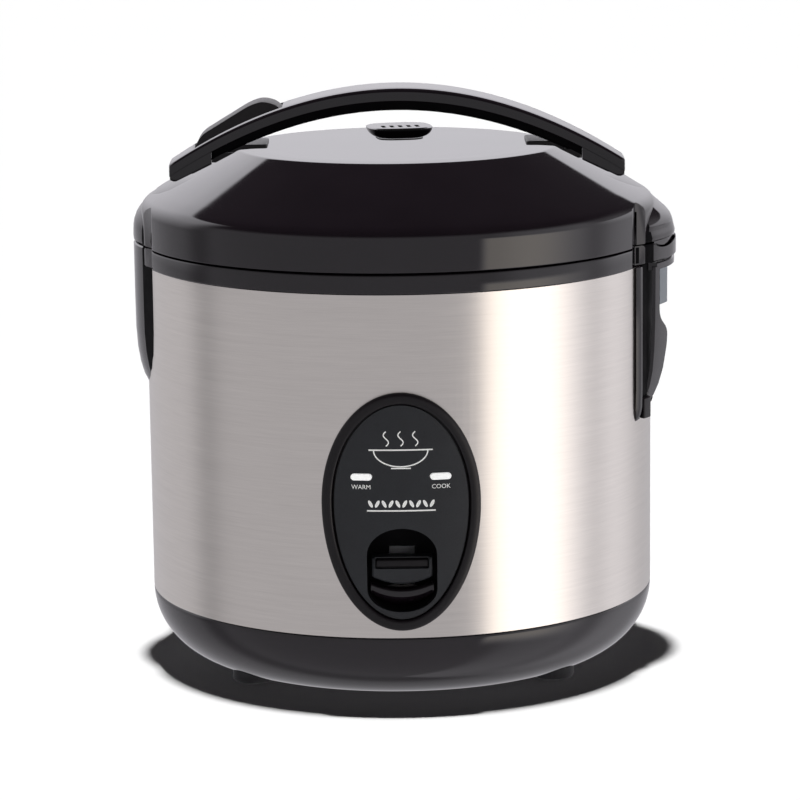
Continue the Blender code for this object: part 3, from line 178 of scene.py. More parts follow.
def brushed_stainless():
    """Ferritic stainless sheet, belt-brushed round the body and lacquered: long hairlines in a warm grey.

    Real hairlines are about 0.1 mm wide, too fine to show, so they are drawn 0.35 mm wide, with bands.
    """
    made, tree, sockets, where = start_material("brushed stainless steel", "#dad4ce", 0.30, 1.0,
                                                Anisotropic=0.65,
                                                **{"Anisotropic Rotation": 0.25})
    moved = add(tree, "VectorMath", {0: where, 1: BODY_AXIS}, operation="SUBTRACT").outputs["Vector"]
    axes = add(tree, "SeparateXYZ", {"Vector": moved}).outputs
    inward = add(tree, "Math", {0: axes["Y"], 1: -1.0}, operation="MULTIPLY").outputs[0]
    turn = add(tree, "Math", {0: axes["X"], 1: inward}, operation="ARCTAN2").outputs[0]
    streaks = []
    for length, width in ((14, 0.35), (60, 1.6)):  # the hairlines, then the bands
        run = add(tree, "Math", {0: turn, 1: BODY_RADIUS / length}, operation="MULTIPLY").outputs[0]
        rise = add(tree, "Math", {0: axes["Z"], 1: 1 / (width * MM)}, operation="MULTIPLY").outputs[0]
        drawn_out = add(tree, "CombineXYZ", {"X": run, "Z": rise}).outputs["Vector"]
        streaks.append(add(tree, "TexNoise", {"Vector": drawn_out, "Scale": 1.0, "Detail": 2.0}).outputs[0])
    both = add(tree, "Math", {0: streaks[0], 1: streaks[1]}, operation="ADD").outputs[0]
    mean = add(tree, "Math", {0: both, 1: 0.5}, operation="MULTIPLY").outputs[0]
    surface(tree, sockets, where, (mean, 0.29, 0.34), (mean, "#d4cfc9", "#e0dbd5"),
            (streaks[0], 2.0, 0.004, 0.4))
    add(tree, "Tangent", {}, sockets["Tangent"], direction_type="RADIAL", axis="Z")
    return made


def pressed_steel(name, colour, roughness):
    """Zinc-plated or stamped steel: grey metal with a soft, slightly cloudy plating."""
    made, tree, sockets, where = start_material(name, colour, roughness, 1.0)
    surface(tree, sockets, where, (5, roughness - 0.06, roughness + 0.08), None, (0.6, 3.0, 0.01, 0.5))
    return made


def turned_aluminium(name, dark, light, roughness, pitch):
    """Aluminium with the concentric marks of its spinning or turning, pitch millimetres apart."""
    made, tree, sockets, where = start_material(name, light, roughness, 1.0)
    moved = add(tree, "VectorMath", {0: where, 1: BODY_AXIS}, operation="SUBTRACT").outputs["Vector"]
    rings = add(tree, "TexWave", {"Vector": moved, "Scale": TAU / (20 * pitch * MM), "Distortion": 0.4,
                                  "Detail": 1.0}, wave_type="RINGS", rings_direction="Z").outputs["Fac"]
    surface(tree, sockets, where, (12, roughness - 0.05, roughness + 0.08), (12, dark, light),
            (rings, 1.0, 0.015, 0.5))
    return made


def pot_coating():
    """Fluoropolymer non-stick on aluminium: dark grey, softly matt, with pale mineral flecks of 0.6 mm."""
    made, tree, sockets, where = start_material("speckled non-stick coating", "#333438", 0.42, IOR=1.38)
    cells = add(tree, "TexVoronoi", {"Vector": where, "Scale": 1 / (2.2 * MM)}).outputs["Distance"]
    add(tree, "ValToRGB", {"Fac": cells}, sockets["Base Color"], ((0.13, "#8b8b8d"), (0.19, "#323337")))
    surface(tree, sockets, where, relief=(0.9, 3.0, 0.02, 0.5))
    return made


def moulded_rubber(name, colour, roughness):
    """Rubber or silicone from a blasted mould: dull, with a powdery bloom."""
    made, tree, sockets, where = start_material(name, colour, roughness, IOR=1.45)
    surface(tree, sockets, where, (6, roughness - 0.08, roughness + 0.06), None, (0.9, 3.0, 0.04, 0.6))
    return made


def frosted_acrylic():
    """Clear moulded acrylic with a light haze, as water-spotted plastic has; 4 mm clouds vary the haze."""
    made, tree, sockets, where = start_material("hazy clear acrylic", "#cdd1d3", 0.2, IOR=1.49,
                                                **{"Transmission Weight": 0.3})
    surface(tree, sockets, where, (4, 0.15, 0.28), None, (9, 1.0, 0.01, 0.4))
    return made


def smoke_acrylic():
    """The blue-grey tinted insert in the top of the dew collector: smooth, with a soft shine."""
    made, tree, sockets, where = start_material("tinted acrylic", "#8b949c", 0.2, IOR=1.49)
    surface(tree, sockets, where, (5, 0.15, 0.28))
    return made


def opal_lens():
    """Opal acrylic over the lamps: white all through, softly glossy, with a painted glow (emission) brightening
    it.
    """
    made, tree, sockets, where = start_material("opal acrylic", "#fbfaf6", 0.22, IOR=1.49, **{
        "Emission Color": srgb("#ffffff"), "Emission Strength": 0.55})
    surface(tree, sockets, where, shade=(3, "#f6f5f0", "#ffffff"))
    return made


def white_print():
    """Pad-printed white ink, 0.03 mm thick: flat white, a little uneven, with a painted glow (emission)
    brightening it.
    """
    made, tree, sockets, where = start_material("pad-printed white ink", "#e9e9e6", 0.5, IOR=1.5, **{
        "Emission Color": srgb("#f2f2f0"), "Emission Strength": 0.35})
    surface(tree, sockets, where, shade=(0.9, "#dedfdc", "#f2f2ef"))
    return made


def circuit_laminate():
    """Glass-epoxy board under green solder resist, with the glass cloth's 0.6 mm weave just showing."""
    made, tree, sockets, where = start_material("green circuit laminate", "#1f5a38", 0.35, IOR=1.5)
    weave = add(tree, "TexWave", {"Vector": where, "Scale": TAU / (20 * 0.6 * MM)}).outputs["Fac"]
    surface(tree, sockets, where, shade=(weave, "#1c5233", "#23633f"), relief=(weave, 3.0, 0.02, 0.5))
    return made


def woven_sleeve():
    """Silicone-varnished glass braid on the leads: pale and matt, in 1.2 mm strands."""
    made, tree, sockets, where = start_material("braided glass sleeve", "#d8d3c2", 0.7, IOR=1.5)
    strands = add(tree, "TexWave", {"Vector": where, "Scale": TAU / (20 * 1.2 * MM), "Distortion": 1.0},
                  bands_direction="DIAGONAL").outputs["Fac"]
    surface(tree, sockets, where, shade=(strands, "#bdb7a4", "#e3decf"), relief=(strands, 3.0, 0.15, 0.7))
    return made


GLOSS = polished_black_abs()
SATIN = satin_black_abs()
# The darkest black: painted shade for recesses, undersides and slanted flanks
DULL_SHADED = dull_shaded_black_abs()
PANEL = panel_abs()
STAINLESS = brushed_stainless()
ZINC = pressed_steel("zinc-plated steel", "#a9abad", 0.34)
SPRING = pressed_steel("drawn spring wire", "#8f9092", 0.26)
STAMPED = pressed_steel("stamped stainless steel", "#b4b2ae", 0.30)
SPUN = turned_aluminium("spun aluminium", "#c3c4c6", "#d6d7d8", 0.34, 0.9)
CAST = turned_aluminium("machined cast aluminium", "#a3a4a6", "#bcbdbe", 0.46, 1.2)
COATING = pot_coating()
BRASS = pressed_steel("tinned brass", "#d0b176", 0.28)
RUBBER = moulded_rubber("grey foot rubber", "#454547", 0.72)
SILICONE = moulded_rubber("white silicone rubber", "#d9d9d4", 0.55)
ACRYLIC = frosted_acrylic()
SMOKE = smoke_acrylic()
OPAL = opal_lens()
INK = white_print()
LAMINATE = circuit_laminate()
SLEEVE = woven_sleeve()

FINISH_OF_SLOT = {
    "gloss_black": GLOSS, "satin_black": SATIN, "panel_grey": PANEL, "brushed_steel": STAMPED,
    "spring_steel": ZINC, "aluminium": SPUN, "cast_aluminium": CAST, "pot_coating": COATING, "brass": BRASS,
    "rubber": RUBBER, "silicone": SILICONE, "clear_plastic": ACRYLIC, "lens_white": OPAL,
    "circuit_board": LAMINATE, "glass_sleeve": SLEEVE,
}
for part in frame["record"]["subparts"]:
    seen = frame["nodes"][part["node"]]
    seen.data.materials.clear()
    seen.data.materials.append(SPRING if "spring" in part["node"] else FINISH_OF_SLOT[part["material_slot"]])


# ------------------------------------------------------------------ making pieces
def mesh_object(name, points, faces):
    """An object from points in millimetres, with its faces turned outwards."""
    mesh = bpy.data.meshes.new(name)
    mesh.from_pydata([at(*p) for p in points], [], faces)
    work = bmesh.new()
    work.from_mesh(mesh)
    bmesh.ops.remove_doubles(work, verts=work.verts, dist=1e-7)
    bmesh.ops.recalc_face_normals(work, faces=work.faces)
    work.to_mesh(mesh)
    work.free()
    made = bpy.data.objects.new(name, mesh)
    bpy.context.scene.collection.objects.link(made)
    return made


def settle(piece, *tools):
    """Bakes a piece's modifiers into its mesh and removes the shapes that they used."""
    bpy.context.view_layer.update()
    shape = bpy.data.meshes.new_from_object(piece.evaluated_get(bpy.context.evaluated_depsgraph_get()))
    piece.modifiers.clear()
    piece.data = shape
    for tool in tools:
        bpy.data.objects.remove(tool)
    return piece


def boolean(piece, operation, *tools):
    for tool in tools:
        step = piece.modifiers.new(operation.lower(), "BOOLEAN")
        step.operation, step.solver, step.object = operation, "EXACT", tool
    return settle(piece, *tools)


def cut(piece, *tools):
    return boolean(piece, "DIFFERENCE", *tools)


def soften(piece, width, segments=3, angle=32):
    """Rounds a piece's sharp edges by width millimetres."""
    bevel = piece.modifiers.new("rounded edges", "BEVEL")
    bevel.width, bevel.segments, bevel.limit_method = width * MM, segments, "ANGLE"
    bevel.angle_limit, bevel.harden_normals = math.radians(angle), False
    return settle(piece)


def dress(piece, finish, body, *stands_for, sharp=32, slot=None):
    """Gives a piece its finish and smooth shading, and hangs it on its body in the frame."""
    piece.data.materials.clear()
    piece.data.materials.append(finish)
    piece.data.shade_smooth()
    piece.data.set_sharp_from_angle(angle=math.radians(sharp))
    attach(piece, body)
    if stands_for:
        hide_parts(*stands_for)
    return piece


def arc(centre, radii, start, end, steps):
    """Points from start to end degrees on an ellipse."""
    turns = [math.radians(start + (end - start) * i / steps) for i in range(steps + 1)]
    return [(centre[0] + radii[0] * math.cos(t), centre[1] + radii[1] * math.sin(t)) for t in turns]


def eased(corners, steps=4):
    """A closed outline whose (a, b, radius) corners are rounded by about their radius."""
    outline = []
    for i, (a, b, radius) in enumerate(corners):
        here = Vector((a, b))
        back = Vector(corners[i - 1][:2]) - here
        ahead = Vector(corners[(i + 1) % len(corners)][:2]) - here
        if radius <= 0:
            outline.append((a, b))
            continue
        reach = min(radius, back.length * 0.49, ahead.length * 0.49)
        first, last = here + back.normalized() * reach, here + ahead.normalized() * reach
        for k in range(steps + 1):
            t = k / steps
            outline.append(tuple(first * (1 - t) ** 2 + here * 2 * t * (1 - t) + last * t * t))
    return outline


def turned(name, profile, sides=176, centre=(0, 0)):
    """A closed (radius, z) profile turned about a vertical axis."""
    points, rings = [], []
    for radius, z in profile:
        count = 1 if radius < 1e-6 else sides
        rings.append([len(points) + i for i in range(count)])
        points += [(centre[0] + radius * math.sin(TAU * i / sides),
                    centre[1] - radius * math.cos(TAU * i / sides), z)
                   for i in range(count)]
    faces = []
    for ring, following in zip(rings, rings[1:] + rings[:1]):
        for i in range(sides):
            loop = [ring[i % len(ring)], ring[(i + 1) % len(ring)], following[(i + 1) % len(following)],
                    following[i % len(following)]]
            loop = list(dict.fromkeys(loop))
            if len(loop) > 2:
                faces.append(loop)
    return mesh_object(name, points, faces)


def skinned(name, rings, closed=False):
    """A skin over rings of equally many points; its ends are capped unless it closes on itself."""
    count = len(rings[0])
    points = [p for ring in rings for p in ring]
    faces = []
    for k in range(len(rings) if closed else len(rings) - 1):
        low, high = k * count, (k + 1) % len(rings) * count
        faces += [(low + i, low + (i + 1) % count, high + (i + 1) % count, high + i) for i in range(count)]
    if not closed:
        faces += [tuple(range(count)), tuple(range(len(points) - count, len(points)))]
    return mesh_object(name, points, faces)


def pushed(name, axis, outline, low, high):
    """An outline of (x, y), (x, z) or (y, z) points pushed along the remaining axis."""
    place = {"X": lambda a, b, c: (c, a, b), "Y": lambda a, b, c: (a, c, b), "Z": lambda a, b,
             c: (a, b, c)}[axis]
    return skinned(name, [[place(a, b, c) for a, b in outline] for c in (low, high)])


def block(name, low, high):
    return pushed(name, "Z", [(low[0], low[1]), (high[0], low[1]), (high[0], high[1]), (low[0], high[1])],
                  low[2], high[2])


def bar(name, axis, centre, radius, low, high, sides=32):
    return pushed(name, axis, arc(centre, (radius, radius), 0, 360, sides)[:-1], low, high)


def wrapped(points, lift=0.0, radius=FACE):
    """Flat (u, z) points laid on the panel's curved face, lift millimetres above it."""
    return [((radius + lift) * math.sin(u / BODY_RADIUS), -(radius + lift) * math.cos(u / BODY_RADIUS), z)
            for u, z in points]


# ------------------------------------------------------------------ side outlines in plan
def bulge(reach, radius, half, steps=20):
    """The bowed face of a side bracket in plan, from -half to +half across."""
    sweep = math.degrees(math.asin(half / radius))
    return arc((reach - radius, 0), (radius, radius), -sweep, sweep, steps)


def side_outline(reach, radius, half, root, sign, drop=0.0):
    """A bracket in plan: its bowed face, the slanted faces beside it and its root inside the body."""
    face = [(x - drop, y) for x, y in bulge(reach, radius, half)]
    root_x, root_y = root
    outline = [(root_x - 22 - drop * 0.5, -root_y), (root_x - drop * 0.4, -root_y)] + face
    outline += [(root_x - drop * 0.4, root_y), (root_x - 22 - drop * 0.5, root_y)]
    return [(sign * x, y) for x, y in outline]


HINGE = dict(radius=54.5, half=38.0, root=(105.6, 42.8), sign=1)
LATCH = dict(radius=52.0, half=23.0, root=(110.0, 33.4), sign=-1)


def bracket(name, levels, reach, radius, half, root, sign):
    """A side bracket skinned over (z, drop) levels, drop being how far its face stands back there."""
    rings = [[flush(x, y, z, half) for x, y in side_outline(reach, radius, half, root, sign, drop)]
             for z, drop in levels]
    return skinned(name, rings)


def flush(x, y, z, half):
    """Above the lid's wall a bracket sinks into the slope towards its two edges."""
    high = z - SEAM
    if high <= 17.6:
        return x, y, z
    slope = 115.1 - (high - 17.6) * 1.27 if high < 22.2 else 109.3 - (high - 22.2) * 1.92
    limit = slope - 0.4 + 2.6 * max(0.0, 1 - (y / half) ** 2)
    share = min(1.0, limit / math.hypot(x, y))
    return x * share, y * share, z


def shaded_matt_flanks(piece, near, far):
    """The slanted faces near both edges of a bracket get the dark matt black: painted shade where they fall in
    shadow.
    """
    piece.data.materials.append(DULL_SHADED)
    for face in piece.data.polygons:
        y = abs(face.center.y * 1000 + 0.35)
        if near < y < far and abs(face.normal.x) > 0.3 and abs(face.normal.z) < 0.8:
            face.material_index = len(piece.data.materials) - 1


# ------------------------------------------------------------------ body
def panel_edge(turn, inset):
    rise = 48.5 if math.sin(turn) >= 0 else 56.0
    out = Vector((math.cos(turn) / 34.5, math.sin(turn) / rise)).normalized()
    return 34.5 * math.cos(turn) - inset * out.x, PANEL_MIDDLE + rise * math.sin(turn) - inset * out.y


def panel_loop(inset, radius, count=120):
    return wrapped([panel_edge(TAU * i / count, inset) for i in range(count)], 0, radius)


def steel_shell():
    low, high, wall = SHELL_LOW, SHELL_HIGH, BODY_RADIUS - 0.8
    shell = turned("steel_shell", [(BODY_RADIUS, low), (BODY_RADIUS, high), (wall, high), (wall, low)], 240)
    hole = [(x, z) for x, _, z in panel_loop(2.2, BODY_RADIUS, 96)]
    inlet = eased([(-15.3, 52.7, 1), (15.3, 52.7, 1), (15.3, 75.3, 1), (-15.3, 75.3, 1)])
    cut(shell, pushed("panel_hole", "Y", hole, -130, -70), pushed("inlet_hole", "Y", inlet, 90, 130))
    dress(shell, STAINLESS, "cooker_body", "outer_shell", sharp=40, slot="brushed_steel")


def base_tub():
    outer = arc((83, 34.8), (32, 31.2), -90, 0, 26)
    outer = outer[:-1] + [(114.95, 34.2), (114.6, 34.8)]
    inner = [(r - 2.5, max(z, 3.6) + 2.5) for r, z in arc((83, 34.8), (32, 31.2), -90, -12, 14)]
    profile = [(0, 3.6)] + outer + [(113.7, 34.8), (113.7, 39.8), (111.7, 39.8),
                                    (111.7, 33)] + inner[::-1] + [(0, 6.1)]
    tub = turned("base_tub", profile)
    tools = []
    for i in range(8):
        turn = TAU * (i + 0.5) / 8
        slot = eased([(22, -1.5, 1.4), (46, -1.5, 1.4), (46, 1.5, 1.4), (22, 1.5, 1.4)])
        slot = [(a * math.cos(turn) - b * math.sin(turn), a * math.sin(turn) + b * math.cos(turn)) for a,
                b in slot]
        tools.append(pushed(f"vent_{i}", "Z", slot, 0, 9))
    for degrees in (60, 180, 300):
        turn = math.radians(degrees)
        tools.append(bar(f"screw_sink_{degrees}", "Z", (70 * math.cos(turn), 70 * math.sin(turn)), 3.7, 0, 9))
    cut(tub, *tools)
    dress(tub, GLOSS, "cooker_body", "base_housing", slot="gloss_black")


def rubber_feet():
    x, y = 84.5 * math.cos(math.radians(37)), 84.5 * math.sin(math.radians(37))
    for name, side_x, side_y in (("front_left", -1, -1), ("front_right", 1, -1), ("rear_left", -1, 1),
                                 ("rear_right", 1, 1)):
        profile = [(0, 0)] + arc((8.2, 1.4), (1.4, 1.4), -90, 0, 5) + [(9.5, 5.2), (0, 5.2)]
        profile[0:1] = [(0, 0.8), (4.6, 0.8), (5.0, 0)]
        dress(turned(f"rubber_foot_{name}", profile, 48, (side_x * x, side_y * y)), RUBBER, "cooker_body",
              f"foot_{name}", slot="rubber")


def rim():
    top, low = SEAM - 0.3, SHELL_HIGH + 0.6
    profile = [(116.6, low), (RIM_RADIUS, low + 0.3), (RIM_RADIUS, top - 1.1), (116.5, top - 0.35),
               (115.9, top),
               (104.9, top), (104.5, top - 0.4), (104.5, top - 4), (98.0, top - 4), (97.6, top - 1.9),
               (97.2, top - 1.6), (96.0, top - 1.6), (95.6, top - 2), (95.5, top - 6), (106.5, top - 6),
               (106.5, top - 2), (112.0, top - 2), (112.0, 178.0), (113.6, 178.0), (113.6, low)]
    ring = turned("rim_ring", profile)
    tools = side_recesses(low - 1, SEAM + 1)
    tools.append(block("latch_slot", (-114.6, -6, SEAM - 8.5), (-107.6, 6, SEAM + 1)))
    cut(ring, *tools)
    dress(ring, GLOSS, "cooker_body", "upper_rim", "latch_keeper", slot="gloss_black")
    band = bracket("rim_band", [(low, 0.8), (low + 0.6, 0.0), (top - 0.6, 0.0), (top, 0.7)], reach=126.8,
                   **HINGE)
    cut(band, turned("band_core", [(0, low - 2), (113, low - 2), (113, top + 2), (0, top + 2)]),
        bar("hinge_groove", "Y", (120.3, SEAM + 6), 8.85, -60, 60, 64))
    dress(band, GLOSS, "cooker_body", slot="gloss_black")
    shaded_matt_flanks(band, 35.4, 44)
    x, z = 120.3, SEAM + 6
    for name, side in (("front", -1), ("rear", 1)):
        arm = [(x - 9.7, top - 3), (x - 6.6, top - 3), (x - 6.6, z - 2.3)]
        arm += arc((x, z), (2.6, 2.6), -90, 90, 10) + [(x - 9.7, z + 2.3)]
        made = cut(pushed(f"hinge_arm_{name}", "Y", arm, side * 8 - 2, side * 8 + 2),
                   bar("pin_hole", "Y", (x, z), 1.35, -20, 20))
        dress(made, SATIN, "cooker_body", slot="satin_black")


def side_recesses(low, high):
    """The narrow vertical recesses beside the two brackets, as shapes to cut with."""
    shapes = []
    for side in (-1, 1):
        right = [(103.2, 54.6), (105.3, 43.0), (112.0, 37.6), (122, 37.6), (122, 60)]
        left = [(-109.4, 41.5), (-110.0, 33.2), (-116.2, 22.6), (-124, 22.6), (-124, 44)]
        for name, outline in (("right", right), ("left", left)):
            shapes.append(pushed(f"recess_{name}_{side}", "Z", [(x, side * y) for x, y in outline], low,
                                 high))
    return shapes


# ------------------------------------------------------------------ lid
def lid_height(radius):
    """Height of the lid's skin above the floor."""
    if radius <= 71.5:
        return LID_TOP
    return SEAM + 40.7 - (radius - 71.5) * 0.4947


def lid():
    wall = eased([(RIM_RADIUS, SEAM + 0.3, 0.5), (RIM_RADIUS + 0.15, SEAM + 17.6, 5.2),
                  (109.3, SEAM + 22.2, 3.0),
                  (72.2, SEAM + 41.5, 0.9), (65, SEAM + 42.0, 3), (40, SEAM + 42.0, 0), (0, SEAM + 42.0, 0),
                  (0, SEAM + 39.5, 0), (64, SEAM + 39.5, 0), (108, SEAM + 19.5, 0), (114.2, SEAM + 15, 0),
                  (114.2, SEAM + 0.3, 0)], 9)
    dome = turned("lid_dome", wall, 240)
    tools = side_recesses(SEAM - 1, SEAM + 20)
    tools += [finger_room(), bar("vent_hole", "Z", (0, 26), 8.8, LID_TOP - 12, LID_TOP + 6, 48),
              block("arm_way", (100, -11, SEAM - 1), (130, 11, SEAM + 9.6))]
    cut(dome, *tools)
    dress(dome, GLOSS, "lid", "lid_cover", slot="gloss_black", sharp=38)

    boss = [(0.3, 0.9), (0.9, 0.2), (3, 0.0), (7, 0.15), (10, 0.7), (13, 1.8), (15.5, 3.4), (17.6, 5.3),
            (19.9, 8.1),
            (22.7, 10.9), (24.8, 13.6), (28, 19.6), (31, 26)]
    boss_skin = bracket("latch_boss", [(SEAM + z, drop) for z, drop in boss], reach=120.6, **LATCH)
    cut(boss_skin, finger_room())
    shaded_matt_flanks(dress(boss_skin, GLOSS, "lid", slot="gloss_black"), 23.4, 32.6)

    skin = [(0.3, 0.9), (0.9, 0.2), (2.0, 0.0), (3.5, 0.4), (5.5, 0.9), (7.5, 1.4), (9.5, 2.3), (11.6, 4.0),
            (14.4, 7.2), (17, 10.2), (20, 13.6), (23, 17.6), (26, 22.5), (29.5, 29)]
    cover = bracket("hinge_cover", [(SEAM + z, drop) for z, drop in skin], reach=126.3, **HINGE)
    hollow = bracket("cover_space", [(SEAM - 2, 0.8), (SEAM + 3, 0.8), (SEAM + 8, 2.4), (SEAM + 9.5, 3.6),
                                     (SEAM + 12, 7.8), (SEAM + 15, 12)], 124.2, 52.4, 36.0, (103, 40.4), 1)
    cut(cover, hollow)
    shaded_matt_flanks(dress(cover, GLOSS, "lid", slot="gloss_black"), 35.4, 44)
    barrel = bracket("hinge_barrel", [(SEAM - 3, 0.5), (SEAM + 7, 0.5)], reach=126.0, **HINGE)
    boolean(barrel, "INTERSECT", bar("hinge_round", "Y", (120.3, SEAM + 6), 8.2, -60, 60, 64))
    cut(barrel, block("arm_room", (100, -12.5, SEAM - 5), (135, 12.5, SEAM + 20)))
    dress(barrel, GLOSS, "lid", slot="gloss_black")


def handle_line(x):
    return HANDLE_CROWN - HANDLE_BOW * x * x


def handle_half(x, middle):
    """Half the handle's width: it narrows a little towards its tips."""
    return middle - 3.4 * max(0.0, (abs(x) - 62) / 41) ** 2


def handle():
    stations = [102.9 * i / 48 for i in range(-48, 49)]
    stations[0:1], stations[-1:] = [-102.9, -102.5], [102.5, 102.9]
    rings = []
    for x in stations:
        half, top = handle_half(x, 16.0), handle_line(x)
        tip = 1.0 if abs(x) > 102.7 else 0.0
        section = [(-half + 0.5, -6.4), (-half, -5.9), (-half, -2.3), (-half + 0.2, -1.5),
                   (-half + 0.7, -0.95),
                   (-half + 1.6, -0.65), (-half * 0.6, -0.25), (-half * 0.3, -0.07), (0, 0)]
        section += [(-y, z) for y, z in section[-2::-1]]
        rings.append([(x, y * (1 - 0.04 * tip), top + z * (1 - 0.1 * tip) - 0.4 * tip) for y, z in section])
    band = skinned("handle_band", rings)
    cut(band, block("key_well", (-92.2, -11, SEAM + 20), (-51.4, 11, SEAM + 80)))
    dress(band, GLOSS, "lid", "handle_top", slot="gloss_black", sharp=40)

    places = [84.0 * i / 17 for i in range(-17, 18)]
    rings = []
    for x in places:
        top, low = handle_line(x) - 5.9, handle_line(x) - 10.4
        if abs(x) > 57.5:
            low = max(low, lid_height(abs(x)) + 1.2)
        low = min(low, top - 0.6)
        section = [(-14.2, top), (-14.0, low + 1.2), (-13.0, low), (13.0, low), (14.0, low + 1.2),
                   (14.2, top)]
        rings.append([(x, y, z) for y, z in section])
    grip = skinned("handle_grip", rings)
    cut(grip, finger_room(), key_room())
    # The underside gets the dark matt black: painted shade under the handle
    dress(grip, DULL_SHADED, "lid", "handle_lower", slot="satin_black")

    for name, sign in (("left", -1), ("right", 1)):
        rings = []
        for i in range(13):
            x = 83.5 + (102.6 - 83.5) * i / 12
            half, low = handle_half(x, 15.8), lid_height(x) + 0.5
            top = handle_line(x) - 5.6
            lift = 2.2 * max(0.0, (x - 98.5) / 4.1) ** 2
            low = min(low + lift, top - 0.8)
            rings.append([(sign * x, y, z) for y, z in ((-half, top), (-half, low + 0.8), (-half + 0.8, low),
                                                        (half - 0.8, low), (half, low + 0.8), (half, top))])
        cheek = skinned(f"handle_end_{name}", rings)
        if sign < 0:
            cut(cheek, block("key_room", (-92.2, -11, SEAM + 20), (-79, 11, SEAM + 80)))
        dress(cheek, GLOSS, "lid", slot="gloss_black")
        for level, (inner, outer, half, low, high) in enumerate(((57.5, 84.0, 13.6, 36.0, 40.4),
                                                                 (58.4, 82.0, 12.8, 40.0, 43.8))):
            outline = eased([(inner, -half, 2), (outer, -half, 2), (outer, half, 2), (inner, half, 2)])
            foot = pushed(f"handle_foot_{name}_{level}", "Z", [(sign * x, y) for x, y in outline], SEAM + low,
                          SEAM + high)
            if sign < 0:
                cut(foot, finger_room(), key_room())
            dress(soften(foot, 0.5), SATIN, "lid", slot="satin_black")


def finger_room():
    """What the key's finger sweeps through, with room round it."""
    return block("finger_room", (-89.2, -3.5, SEAM + 18.2), (-80.2, 3.5, SEAM + 60))


def key_room():
    """What the key sweeps through when it is pressed, with room under it."""
    under = [(-92.2, 35.8), (-80, 42.4), (-70, 47.8), (-60, 52.4), (-51.4, 56.0), (-51.4, 80), (-92.2, 80)]
    return pushed("key_room", "Y", [(x, SEAM + z) for x, z in under], -11.3, 11.3)


def release_key():
    """The key on the handle's left end, with a pressed hollow for the finger."""
    crown = [(-91.4, 43.2, 0.8), (-88.4, 49.0, 4.5), (-66.5, 62.2, 5.5), (-60.4, 64.2, 5.0),
             (-54.6, 62.6, 3.0),
             (-51.9, 60.3, 0.5), (-52.4, 58.4, 0.5), (-60, 55.0, 3), (-70, 51.0, 3), (-80, 46.3, 3),
             (-91.0, 40.5, 0.5)]
    outline = [(x, SEAM + z - 1.1) for x, z in eased(crown, 6)]
    key = pushed("release_key", "Y", outline, -10.6, 10.6)
    soften(key, 1.3, 4, 50)
    dress(key, SATIN, "release", "release_lever", slot="satin_black", sharp=45)
    finger = block("release_finger", (-88, -2.5, SEAM + 21.3), (-84, 2.5, SEAM + 46))
    dress(soften(finger, 0.4), SATIN, "release", slot="satin_black")
    trunnion = bar("release_trunnion", "Y", (-55, SEAM + 56.5), 1.4, -13, 13)
    dress(trunnion, SATIN, "release", slot="satin_black")


def steam_cap():
    """A small boat-shaped cap with five steam slots, turned a little on its seat."""
    twist = math.radians(8)

    def squarish(half_x, half_y, turn, z, power=0.62):
        a = half_x * math.copysign(abs(math.cos(turn)) ** power, math.cos(turn))
        b = half_y * math.copysign(abs(math.sin(turn)) ** power, math.sin(turn))
        return (1.2 + a * math.cos(twist) - b * math.sin(twist),
                26 + a * math.sin(twist) + b * math.cos(twist), z)

    rings = []
    for i in range(13):
        swell, rise = math.sin(math.radians(7.5 * i)), 1 - math.cos(math.radians(7.5 * i))
        rings.append([squarish(8.4 + 6.6 * swell, 9 + 5 * swell, TAU * k / 72, LID_TOP + 0.3 + 4.7 * rise)
                      for k in range(72)])
    for inset, rise in ((0.25, 5.05), (0.8, 5.3), (1.6, 5.4), (4, 5.4)):
        rings.append([squarish(15 - inset, 14 - inset, TAU * k / 72, LID_TOP + rise) for k in range(72)])
    cap = skinned("steam_cap", rings)
    stem = bar("cap_stem", "Z", (0, 26), 5.9, LID_TOP - 14, LID_TOP + 3, 40)
    boolean(cap, "UNION", stem)
    tools = [bar("stem_bore", "Z", (0, 26), 4.5, LID_TOP - 15, LID_TOP + 3.5, 32)]
    for i in range(5):
        middle = (i - 2) * 3.9
        slot = eased([(middle - 1.05, -8.4, 1), (middle + 1.05, -8.4, 1), (middle + 1.05, -0.3, 1),
                      (middle - 1.05, -0.3, 1)])
        slot = [(1.2 + a * math.cos(twist) - b * math.sin(twist),
                 26 + a * math.sin(twist) + b * math.cos(twist))
                for a, b in slot]
        tools.append(pushed(f"steam_slot_{i}", "Z", slot, LID_TOP + 2.0, LID_TOP + 9))
    cut(cap, *tools)
    dress(cap, GLOSS, "vent_cap", "steam_vent_cap", slot="satin_black", sharp=35)
    rings = [[squarish(10.6 - 1.0 * k, 11 - 1.0 * k, TAU * i / 72, LID_TOP + z) for i in range(72)]
             for k, z in ((0, 0.02), (0, 0.28), (1, 0.28))]
    dress(skinned("steam_seat", rings), SATIN, "lid", slot="satin_black")


# ------------------------------------------------------------------ side brackets of the body
def latch_side():
    levels = [(SEAM - 0.4, 0.7), (SEAM - 1.0, 0.0), (170, 0.0), (155, 0.1), (146, 0.7), (139, 1.8),
              (134, 3.2),
              (131, 4.6), (129.4, 6.0), (128.6, 8.0)]
    made = bracket("latch_side", levels, reach=120.5, **LATCH)
    cut(made, turned("latch_core", [(0, 100), (115.05, 100), (115.05, SHELL_HIGH + 0.3),
                                    (117, SHELL_HIGH + 0.3),
                                    (117, SEAM + 2), (0, SEAM + 2)]))
    dress(made, GLOSS, "cooker_body", "latch_housing", slot="gloss_black")
    shaded_matt_flanks(made, 23.4, 32.6)


def out_at(z):
    """How far out the dew collector's face stands at a height."""
    stations = [(116.0, 115.9), (117.5, 117.4), (120, 119.4), (124, 121.6), (129, 123.3), (136, 124.6),
                (146, 125.4),
                (160, 125.8), (186, 125.9)]
    for (z0, x0), (z1, x1) in zip(stations, stations[1:]):
        if z <= z1:
            return x0 + (x1 - x0) * (z - z0) / (z1 - z0)
    return stations[-1][1]


